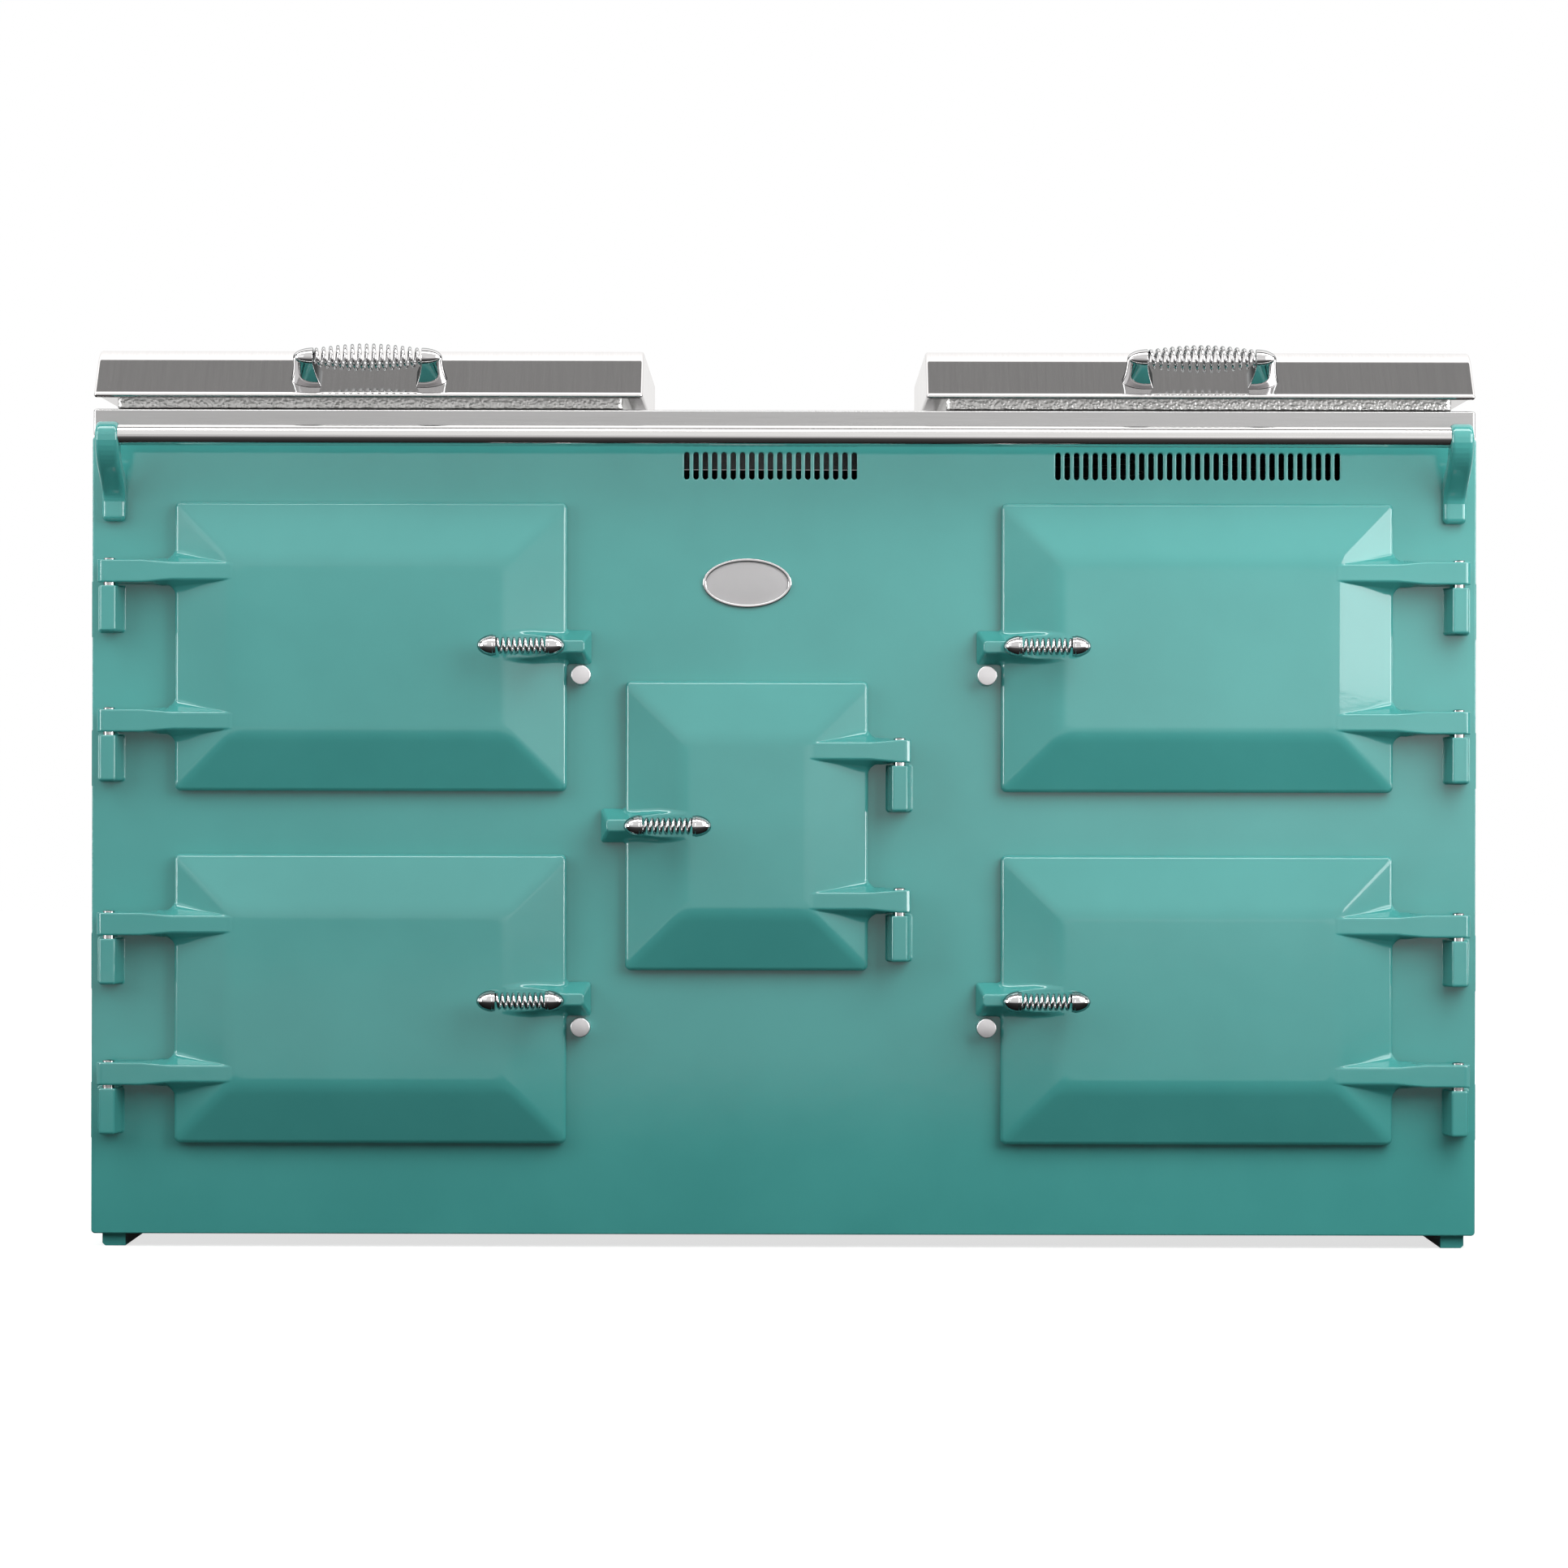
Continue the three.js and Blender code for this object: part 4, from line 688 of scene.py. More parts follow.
@dataclass
class Casting:
    """A solid told by a field that is negative inside, on a ruled grid, in millimetres."""

    field: Field
    marks: tuple[Array, Array, Array]

    def skin(self) -> Skin:
        """The surface where the field is 0, one point a crossed cell, with exact normals."""
        x, y, z = self.marks
        value = np.broadcast_to(
            self.field(x[:, None, None], y[None, :, None], z[None, None, :]), (len(x), len(y), len(z))
        )
        inside = value < 0
        shape = tuple(n - 1 for n in value.shape)
        count = np.zeros(shape, np.int8)
        for i, j, k in product((0, 1), repeat=3):
            count += inside[i : i + shape[0], j : j + shape[1], k : k + shape[2]]
        cell = np.stack(np.nonzero((count > 0) & (count < 8)), axis=1)
        number = np.full(shape, -1, np.int64)
        number[tuple(cell.T)] = np.arange(len(cell))
        points = self._middles(value, cell)
        faces = self._faces(inside, number)
        for _ in range(4):
            level, slope = self._slope(points)
            step = level[:, None] * slope / np.maximum((slope**2).sum(1), 0.05)[:, None]
            points = points - np.clip(step, -0.8, 0.8)
        _, slope = self._slope(points)
        normals = slope / np.maximum(np.linalg.norm(slope, axis=1, keepdims=True), 1e-9)
        return Skin(points, faces, normals)

    def _middles(self, value: Array, cell: Array) -> Array:
        """The mean of each crossed cell's edge crossings."""
        total = np.zeros((len(cell), 3))
        hits = np.zeros(len(cell))
        for axis, a, b in product(range(3), (0, 1), (0, 1)):
            first, second = (o for o in range(3) if o != axis)
            start = cell.copy()
            start[:, first] += a
            start[:, second] += b
            end = start.copy()
            end[:, axis] += 1
            v0, v1 = value[tuple(start.T)], value[tuple(end.T)]
            crossed = (v0 < 0) != (v1 < 0)
            share = np.where(crossed, v0 / np.where(crossed, v0 - v1, 1.0), 0.0)
            at = np.stack([self.marks[o][start[:, o]] for o in range(3)], axis=1)
            line = self.marks[axis]
            at[:, axis] += share * (line[end[:, axis]] - line[start[:, axis]])
            total += at * crossed[:, None]
            hits += crossed
        return total / hits[:, None]

    @staticmethod
    def _faces(inside: Array, number: Array) -> list[Sequence[int]]:
        """A face across each grid edge that the surface crosses."""
        faces: list[Sequence[int]] = []
        for axis in range(3):
            b, c = (axis + 1) % 3, (axis + 2) % 3
            low = [slice(None)] * 3
            high = [slice(None)] * 3
            low[axis], high[axis] = slice(0, -1), slice(1, None)
            first, second = inside[tuple(low)], inside[tuple(high)]
            at = np.stack(np.nonzero(first != second), axis=1)
            keep = np.ones(len(at), bool)
            for o in (b, c):
                keep &= (at[:, o] > 0) & (at[:, o] < inside.shape[o] - 1)
            at = at[keep]
            outward = first[tuple(at.T)]
            corners = []
            for db, dc in ((-1, -1), (0, -1), (0, 0), (-1, 0)):
                where = at.copy()
                where[:, b] += db
                where[:, c] += dc
                corners.append(number[tuple(where.T)])
            quads = np.stack(corners, axis=1)
            quads[~outward] = quads[~outward][:, ::-1]
            faces.extend(quads.tolist())
        return faces

    def _slope(self, points: Array) -> tuple[Array, Array]:
        """The field at some points and how it changes there."""
        h = 0.02
        level = self.field(*points.T)
        slope = np.empty_like(points)
        for axis in range(3):
            ahead, behind = points.copy(), points.copy()
            ahead[:, axis] += h
            behind[:, axis] -= h
            slope[:, axis] = (self.field(*ahead.T) - self.field(*behind.T)) / (2 * h)
        return level, slope


def ring(turn: Array, a: float, b: float, h: float) -> Array:
    """Points at some angles of an oval of half axes a and b, at height h."""
    return np.column_stack([a * np.cos(turn), b * np.sin(turn), np.full(len(turn), h)])


def band(start: int, sides: int) -> list[Sequence[int]]:
    """The faces between two rings of points, the first of which begins at start."""
    ahead = [(i + 1) % sides for i in range(sides)]
    return [[start + i, start + j, start + sides + j, start + sides + i] for i, j in enumerate(ahead)]


def lathe(profile: Sequence[Span], sides: int) -> Skin:
    """A turned skin about the third axis.

    Args:
        profile: Pairs of radius and height, from the lower end on the axis to the upper one.
        sides: How many facets go round.

    Returns:
        The skin, smooth along short steps of the profile and sharp at its corners.
    """
    turn = np.linspace(0.0, 2 * math.pi, sides, endpoint=False)
    points, normals, faces = [], [], []
    for (r0, h0), (r1, h1) in zip(profile, profile[1:], strict=False):
        length = math.hypot(r1 - r0, h1 - h0)
        nr, nh = (h1 - h0) / length, -(r1 - r0) / length
        faces += band(len(points) * sides, sides)
        for r, h in ((r0, h0), (r1, h1)):
            points.append(ring(turn, r, r, h))
            normals.append(ring(turn, nr, nr, nh))
    return Skin(np.concatenate(points), faces, np.concatenate(normals))


def linked(name: str, data: Any) -> bpy.types.Object:
    """A new object in the scene."""
    made = bpy.data.objects.new(name, data)
    bpy.context.scene.collection.objects.link(made)
    return made


def plain_mesh(host: bpy.types.Object) -> bpy.types.Mesh:
    """What an object comes out as. The object itself is removed."""
    graph = bpy.context.evaluated_depsgraph_get()
    mesh = bpy.data.meshes.new_from_object(host.evaluated_get(graph))
    bpy.data.objects.remove(host)
    return mesh


def piece(name: str, skin: Skin, material: bpy.types.Material, weld: bool = False) -> bpy.types.Object:
    """A skin as an object at the origin.

    Args:
        name: The piece's name.
        skin: Its surface, in metres.
        material: Its finish.
        weld: Whether points that coincide are merged, and the shading is then worked out by angle.

    Returns:
        The object.
    """
    mesh = bpy.data.meshes.new(name)
    mesh.from_pydata(skin.points.tolist(), [], skin.faces)
    mesh.materials.append(material)
    mesh.update()
    if weld:
        mend(mesh)
    else:
        mesh.polygons.foreach_set("use_smooth", [True] * len(mesh.polygons))
        mesh.normals_split_custom_set_from_vertices(skin.normals.tolist())
    return linked(name, mesh)


def mend(mesh: bpy.types.Mesh, angle: float = 32.0) -> None:
    """Merges a mesh's doubles, turns its faces out, and smooths it except at sharp edges."""
    work = bmesh.new()
    work.from_mesh(mesh)
    bmesh.ops.remove_doubles(work, verts=work.verts, dist=2e-6)
    bmesh.ops.dissolve_degenerate(work, edges=work.edges, dist=1e-6)
    bmesh.ops.recalc_face_normals(work, faces=work.faces)
    work.to_mesh(mesh)
    work.free()
    mesh.polygons.foreach_set("use_smooth", [True] * len(mesh.polygons))
    mesh.set_sharp_from_angle(angle=math.radians(angle))


def dress(obj: bpy.types.Object, body: str, slot: str, *nodes: str) -> bpy.types.Object:
    """Puts a piece on its body, in place of the nodes it stands for."""
    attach(obj, body)
    if nodes:
        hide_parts(*nodes)
    log.info("%s rides on %s, %d faces", obj.name, body, len(obj.data.polygons))
    return obj


def fix(
    name: str, skin: Skin, finish: bpy.types.Material, body: str, slot: str, *nodes: str, weld: bool = False
) -> None:
    """Makes a piece of a skin, as piece() says, and puts it on its body, as dress() says."""
    dress(piece(name, skin, finish, weld), body, slot, *nodes)


def paint(material: bpy.types.Material, *nodes: str) -> None:
    """Gives CAD nodes that stay a finish."""
    for name in nodes:
        slots = frame["nodes"][name].data.materials
        slots.clear()
        slots.append(material)
        log.info("%s keeps its shape in %s", name, material.name)


def front_axes(sign: int = 1) -> Array:
    """Axes for a skin told as (along, in front of the panel, up), in millimetres."""
    return np.array([[sign, 0, 0], [0, -1, 0], [0, 0, 1]], float) * MM


# ---------------------------------------------------------------- patterns by geometry nodes


SOCKETS = {int: "NodeSocketInt", float: "NodeSocketFloat", tuple: "NodeSocketVector"}


class Pattern(Nodes):
    """A geometry tree with named inputs, whose result becomes a plain mesh."""

    def __init__(self, name: str, inputs: Mapping[str, Any]) -> None:
        """Starts a tree of that name, its inputs told with their values at first."""
        super().__init__(bpy.data.node_groups.new(name, "GeometryNodeTree"))
        sockets = self.tree.interface
        sockets.new_socket(name="Geometry", in_out="OUTPUT", socket_type="NodeSocketGeometry")
        self.identifiers: dict[str, str] = {}
        for label, default in inputs.items():
            made = sockets.new_socket(name=label, in_out="INPUT", socket_type=SOCKETS[type(default)])
            made.default_value = default
            self.identifiers[label] = made.identifier
        self.entry = self.tree.nodes.new("NodeGroupInput")

    def given(self, label: str) -> Value:
        """One of the tree's own inputs."""
        return Value(self, self.entry.outputs[label])

    def vector(self, x: Any = 0.0, y: Any = 0.0, z: Any = 0.0) -> Value:
        """A vector from three numbers or values."""
        return self.node("ShaderNodeCombineXYZ", inputs={0: x, 1: y, 2: z})

    def step(self, kind: str, mode: str | None = None, **inputs: Any) -> Value:
        """Adds a geometry node, the spaces in its sockets' names told as underscores."""
        named = {key.replace("_", " "): value for key, value in inputs.items()}
        return self.node("GeometryNode" + kind, {"mode": mode} if mode else None, named)

    def share(self) -> Value:
        """How far along its curve a point is, from 0 to 1."""
        return self.node("GeometryNodeSplineParameter", out="Factor")

    def tube(self, curve: Value, radius: Any, sides: int, caps: bool = False) -> Value:
        """Round wire along a curve."""
        section = self.step("CurvePrimitiveCircle", Resolution=sides, Radius=radius)
        return self.step("CurveToMesh", Curve=curve, Profile_Curve=section, Fill_Caps=caps)

    def loop(self, width: Value, height: Value, corner: Any) -> Value:
        """A rectangle with rounded corners."""
        rect = self.step("CurvePrimitiveQuadrilateral", Width=width, Height=height)
        return self.step("FilletCurve", "POLY", Curve=rect, Count=8, Radius=corner, Limit_Radius=True)

    def row(self, one: Value, count: Any, start: Any, end: Any, turn: Point = (0.0, 0.0, 0.0)) -> Value:
        """Copies of one geometry from start to end."""
        line = self.step("MeshLine", "END_POINTS", Count=count, Start_Location=start, Offset=end)
        return self.step("InstanceOnPoints", Points=line, Instance=one, Rotation=turn)

    def joined(self, parts: Iterable[Value]) -> Value:
        """Several geometries as one."""
        node = self.tree.nodes.new("GeometryNodeJoinGeometry")
        for part in parts:
            self.tree.links.new(part.socket, node.inputs[0])
        return Value(self, node.outputs[0])

    def end(self, geometry: Value, material: bpy.types.Material) -> Pattern:
        """Closes the tree with real instances and a finish, and gives it back."""
        real = self.node("GeometryNodeRealizeInstances", inputs={0: geometry})
        smooth = self.node("GeometryNodeSetShadeSmooth", inputs={0: real})
        painted = self.node("GeometryNodeSetMaterial", inputs={0: smooth, "Material": material})
        out = self.tree.nodes.new("NodeGroupOutput")
        self.tree.links.new(painted.socket, out.inputs[0])
        return self

    def made(self, name: str, sizes: Mapping[str, Any], place: Matrix) -> bpy.types.Object:
        """The tree's result as a plain object.

        Args:
            name: The piece's name.
            sizes: Values of the tree's inputs.
            place: Where the result goes, applied to its mesh.

        Returns:
            The object, at the origin.
        """
        host = linked(name + "_host", bpy.data.meshes.new(name + "_host"))
        modifier = host.modifiers.new(self.tree.name, "NODES")
        modifier.node_group = self.tree
        for label, value in sizes.items():
            modifier[self.identifiers[label]] = value
        host.update_tag()
        mesh = plain_mesh(host)
        mesh.transform(place)
        if place.determinant() < 0:
            mesh.flip_normals()
        mesh.name = name
        return linked(name, mesh)


def wound_wire() -> Pattern:
    """A spring along X, straight for one run at both ends, its helix swelling to the middle."""
    sizes = {"Turns": 9, "Length": 0.05, "Straight": 0.003, "End Radius": 0.008, "Middle Radius": 0.008}
    p = Pattern("wound_wire", {**sizes, "Wire Radius": 0.0015, "Hand": 1.0})
    points_a_turn = 22
    turns, length = p.given("Turns"), p.given("Length")
    line = p.step("CurvePrimitiveLine", Start=(0.0, 0.0, 0.0), End=p.vector(length))
    dense = p.step("ResampleCurve", Curve=line, Count=turns * points_a_turn + 1)
    share = p.share()
    margin = p.given("Straight") * 1.5 / length
    inner = ((share - margin) / (1.0 - 2.0 * margin)).most(0.0).least(1.0)
    angle = inner * turns * (2.0 * math.pi)
    swell = p.given("Middle Radius") - p.given("End Radius")
    radius = p.given("End Radius") + swell * (share * math.pi).sin()
    spot = p.vector(
        (share - 0.5) * length, radius * angle.cos(), p.given("Hand") * radius * angle.sin()
    )
    moved = p.step("SetPosition", Geometry=dense, Position=spot)
    return p.end(p.tube(moved, p.given("Wire Radius"), 12, caps=True), CHROME)


def wire_rack() -> Pattern:
    """A grid shelf: a frame of round wire with bars from front to back and two cross bars under them."""
    sizes = {"Width": 0.36, "Depth": 0.37, "Bars": 15, "Frame Radius": 0.0034, "Bar Radius": 0.0018}
    p = Pattern("wire_rack", sizes)
    width, depth = p.given("Width"), p.given("Depth")
    thick, thin = p.given("Frame Radius"), p.given("Bar Radius")
    frame_w, frame_d = width - 2.0 * thick, depth - 2.0 * thick
    edge = p.tube(p.loop(frame_w, frame_d, 0.012), thick, 14)
    bar, cross = (p.step("MeshCylinder", Vertices=10, Radius=thin, Depth=d) for d in (frame_d, frame_w))
    first, last = frame_w * -0.5 + 0.022, frame_w * 0.5 - 0.022
    up, down = thick * 0.5, thin * -0.9
    quarter = math.pi / 2
    bars = p.row(
        bar, p.given("Bars"), p.vector(first, 0.0, up), p.vector(last, 0.0, up), (quarter, 0.0, 0.0)
    )
    crosses = p.row(
        cross, 2, p.vector(0.0, depth * -0.18, down), p.vector(0.0, depth * 0.18, down), (0.0, quarter, 0.0)
    )
    return p.end(p.joined((edge, bars, crosses)), CHROME)


def rope_seal() -> Pattern:
    """Three flattened strands twisted round a rounded rectangle."""
    p = Pattern(
        "rope_seal", {"Width": 0.3, "Height": 0.3, "Corner": 0.02, "Twists": 90.0, "Flatness": 0.3}
    )
    bent = p.loop(p.given("Width"), p.given("Height"), p.given("Corner"))
    dense = p.step("ResampleCurve", Curve=bent, Count=900)
    share = p.share()
    across = p.vectors("CROSS_PRODUCT", p.node("GeometryNodeInputTangent"), (0.0, 0.0, 1.0))
    twist_r, strand_r = 0.0017, 0.0014
    strands = []
    for strand in range(3):
        angle = share * p.given("Twists") * (2.0 * math.pi) + strand * 2.0 * math.pi / 3.0
        side = p.node(
            "ShaderNodeVectorMath", {"operation": "SCALE"}, {0: across, "Scale": angle.cos() * twist_r}
        )
        shift = p.vectors("ADD", side, p.vector(z=angle.sin() * twist_r))
        strands.append(p.tube(p.step("SetPosition", Geometry=dense, Offset=shift), strand_r, 6))
    scale = p.vector(1.0, 1.0, p.given("Flatness"))
    return p.end(p.step("Transform", Geometry=p.joined(strands), Scale=scale), ROPE)


def dial_marks() -> Pattern:
    """Short strokes round a knob, over three quarters of a turn."""
    p = Pattern("dial_marks", {"Radius": 0.025, "Marks": 10, "Stroke": 0.005})
    span = {"Start_Angle": math.radians(-45.0), "Sweep_Angle": math.radians(270.0)}
    arched = p.step("CurveArc", Resolution=p.given("Marks"), Radius=p.given("Radius"), **span)
    spots = p.step("CurveToPoints", "EVALUATED", Curve=arched)
    stroke = p.step("MeshCube", Size=p.vector(0.0008, p.given("Stroke"), 0.0002))
    turn = Value(p, spots.socket.node.outputs["Rotation"])
    return p.end(p.step("InstanceOnPoints", Points=spots, Instance=stroke, Rotation=turn), WHITE_PRINT)


def screw_row() -> Pattern:
    """Pan-head screws along a line from one end to the other, their heads towards +Z."""
    ends = {"Start": (0.0, 0.0, 0.0), "End": (1.0, 0.0, 0.0)}
    p = Pattern("screw_row", {"Count": 5, **ends, "Radius": 0.004})
    head = p.step("MeshUVSphere", Segments=16, Rings=8, Radius=p.given("Radius"))
    squat = p.step("Transform", Geometry=head, Scale=(1.0, 1.0, 0.45))
    return p.end(p.row(squat, p.given("Count"), p.given("Start"), p.given("End")), PIN_STEEL)


# ---------------------------------------------------------------- doors


@dataclass
class Door:
    """A raised and fielded cast door with two hinge arms and a latch lug."""

    place: str
    side: Side
    width: float
    height: float
    reach: float
    corner: float = 6.5
    edge_r: float = 3.8
    back: float = 2.0
    rim: float = 14.5
    raised: float = 35.0
    bevel: float = 62.0
    arm_inset: float = 75.5
    arm_front: float = 34.2
    arm_end: float = 12.0
    run_in: float = 64.0
    lug_out: float = 26.6
    lug_front: float = 32.0

    def __post_init__(self) -> None:
        """Works out the places that follow from the sizes."""
        pin = joint(f"door_{self.place}_hinge")["pos_m"]
        self.origin = np.array([pin[0], FACE_Y, pin[2]])
        self.edge = self.reach + self.width
        self.middle = self.reach + self.width / 2
        self.arm_up = self.height / 2 - self.arm_inset
        self.body = f"door_{self.place}"

    def leaf(self, u: Array, d: Array, z: Array) -> Array:
        """The bevelled leaf, without what is cast on it."""
        ex = self.width / 2 - np.abs(u - self.middle)
        ez = self.height / 2 - np.abs(z)
        r = self.corner
        outside = box_distance(r - ex, r - ez, r)
        slope = (self.raised - self.rim) / (self.bevel - 3.0)
        inset = soft_min(ex, ez, 9.0)
        height = soft_min(self.rim + (inset - 3.0) * slope, self.raised, 3.2)
        top = (d - height) / math.hypot(1.0, slope)
        solid = rounded_max(outside, top, self.edge_r)
        return rounded_max(solid, self.back - d, 0.8)

    def arm(self, u: Array, d: Array, z: Array) -> Array:
        """Both hinge arms."""
        up = np.abs(np.abs(z) - self.arm_up)
        half = np.interp(u, (-12.0, self.reach - 34.0, self.reach, self.edge), (12.2, 12.2, 9.2, 9.2))
        draft = 0.02 + 0.16 * step_between(u, self.reach - 36.0, self.reach - 10.0)
        draft = draft + 0.28 * step_between(u, self.reach - 10.0, self.reach + 2.0)
        sides = (up - half - draft * (self.arm_front - d)) / np.hypot(1.0, draft)
        chamfer = (-self.arm_end - 1.0 - u + (d - self.arm_front + 5.0) * 1.2) / math.hypot(1.0, 1.2)
        ends = np.maximum(-self.arm_end - u, u - self.reach - self.run_in)
        low = np.where(u > self.reach + 1.0, self.back + 1.0, 9.0)
        solid = rounded_max(sides, d - self.arm_front, 2.0)
        solid = rounded_max(solid, rounded_max(ends, chamfer, 1.2), 1.2)
        return rounded_max(solid, low - d, 2.0)

    def lug(self, u: Array, d: Array, z: Array) -> Array:
        """The latch lug, a ridge with sloping sides that runs into the bevel."""
        ridge = np.interp(self.edge - u, (0.0, 10.0, 20.0, 36.0), (6.3, 7.5, 10.5, 13.0))
        fall = (18.25 - ridge) / 26.0
        half = np.minimum(18.25, ridge + (self.lug_front - d) * fall)
        sides = (np.abs(z) - half) / np.hypot(1.0, fall)
        rake = 7.0 / 26.0
        out = (u - self.edge - self.lug_out + np.maximum(d - 6.0, 0.0) * rake) / math.hypot(1.0, rake)
        solid = rounded_max(sides, out, 3.4)
        solid = rounded_max(solid, d - self.lug_front, 1.4)
        solid = rounded_max(solid, self.back - d, 0.8)
        return np.maximum(solid, self.edge - self.bevel - u)

    def solid(self, u: Array, d: Array, z: Array) -> Array:
        """The whole casting."""
        fade = step_between(u, self.reach + 6.0, self.reach + 40.0)
        whole = filleted_min(self.leaf(u, d, z), self.arm(u, d, z), 4.6 - 3.9 * fade)
        inwards = step_between(self.edge - u, 4.0, 40.0)
        return filleted_min(whole, self.lug(u, d, z), 3.6 + 1.4 * inwards)

    def skin(self) -> Skin:
        """The casting's surface in the door's own axes: along from the pins, out, up."""
        fine = by_mode(0.9)
        arms = [(s * self.arm_up - 22.0, s * self.arm_up + 22.0) for s in (-1, 1)]
        half = self.height / 2
        u = ruling(
            -14.0,
            self.edge + self.lug_out + 1.5,
            [(-14, -4), (self.reach - 6, self.reach + 6), (self.edge - 7, self.edge + 6),
             (self.edge + 20, self.edge + 28)],
            fine,
            3.2,
            0.09,
        )
        z = ruling(
            -half - 1.5,
            half + 1.5,
            [(-half - 2, 4 - half), (half - 4, half + 2), *[(a + 4, b - 4) for a, b in arms], (-21, 21)],
            fine,
            4.0,
            0.16,
        )
        d = ruling(0.8, 37.5, [(0, 38)], by_mode(0.95), 1.0)
        return Casting(self.solid, (u, d, z)).skin().flattened(1, self.back)

    def build(self, skin: Skin) -> None:
        """Places the casting and what is fixed to it."""
        leaf = skin.placed(front_axes(self.side.value), self.origin)
        fix(f"{self.body}_casting", leaf, ENAMEL, self.body, "enamel", self.body)
        self.plug()
        self.seal()
        self.pins()

    def plug(self) -> None:
        """The inner panel that closes the aperture, with rounded edges and a dished face."""
        depth = 45.0 if self.place != "control" else 12.0
        inset, corner, rim = 34.0, 8.0, 14.0
        w, h = self.width / 2 - inset, self.height / 2 - inset

        def solid(u: Array, t: Array, z: Array) -> Array:
            """A tapered block, t behind the panel's face."""
            taper = 5.0 * (t + 4.0) / (depth + 4.0)
            qx, qz = np.abs(u) - w + corner + taper, np.abs(z) - h + corner + taper
            block = rounded_max(box_distance(qx, qz, corner), t - depth, 3.0)
            well = box_distance(qx + rim, qz + rim, 6.0)
            dished = rounded_max(well, depth - 3.0 - t, 1.5)
            return np.maximum(np.maximum(block, -dished), -4.0 - t)

        behind = ruling(-5.5, depth + 1, [(-6, -3), (depth - 6, depth + 1)], 0.9, 4.0)
        marks = (rimmed(w, 24.0, 1.4, 14.0), behind, rimmed(h, 24.0, 1.4, 14.0))
        origin = self.origin + np.array([self.side.value * self.middle * MM, 0, 0])
        skin = Casting(solid, marks).skin().placed(STRAIGHT, origin)
        fix(f"{self.body}_inner", skin, PLUG_STEEL, self.body, "brushed_steel", self.body)

    def seal(self) -> None:
        """The rope that the door shuts on."""
        inset, sunk = 15.0, 1.15
        place = Matrix.Translation(
            (self.origin[0] + self.side.value * self.middle * MM, FACE_Y - sunk * MM, self.origin[2])
        ) @ UPRIGHT
        sizes = {
            "Width": (self.width - 2 * inset) * MM,
            "Height": (self.height - 2 * inset) * MM,
            "Corner": 0.014,
            "Twists": float(round((self.width + self.height) / 9.0)),
            "Flatness": 0.26,
        }
        dress(PATTERNS["rope"].made(f"{self.body}_seal", sizes, place), self.body, "black_plastic")

    def pins(self) -> None:
        """The two hinge pins, each with a domed head."""
        r = 6.25
        dome = [(r * math.cos(a), 1.2 * math.sin(a)) for a in np.linspace(0.0, math.pi / 2, 7)]
        for end in ("top", "bottom"):
            node = f"hinge_pin_{self.place}_{end}"
            low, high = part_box(node)
            length = (high.z - low.z) / MM
            profile = [(0.0, 0.0), (r - 0.6, 0.0), (r, 0.6)]
            profile += [(x, length - 1.25 + h) for x, h in dome[:-1]] + [(0.0, length)]
            origin = np.array([self.origin[0], FACE_Y - PIN_OUT * MM, low.z])
            skin = lathe(profile, 40).placed(STRAIGHT, origin)
            fix(node + "_steel", skin, PIN_STEEL, self.body, "brushed_steel", node, weld=True)


# ---------------------------------------------------------------- handles


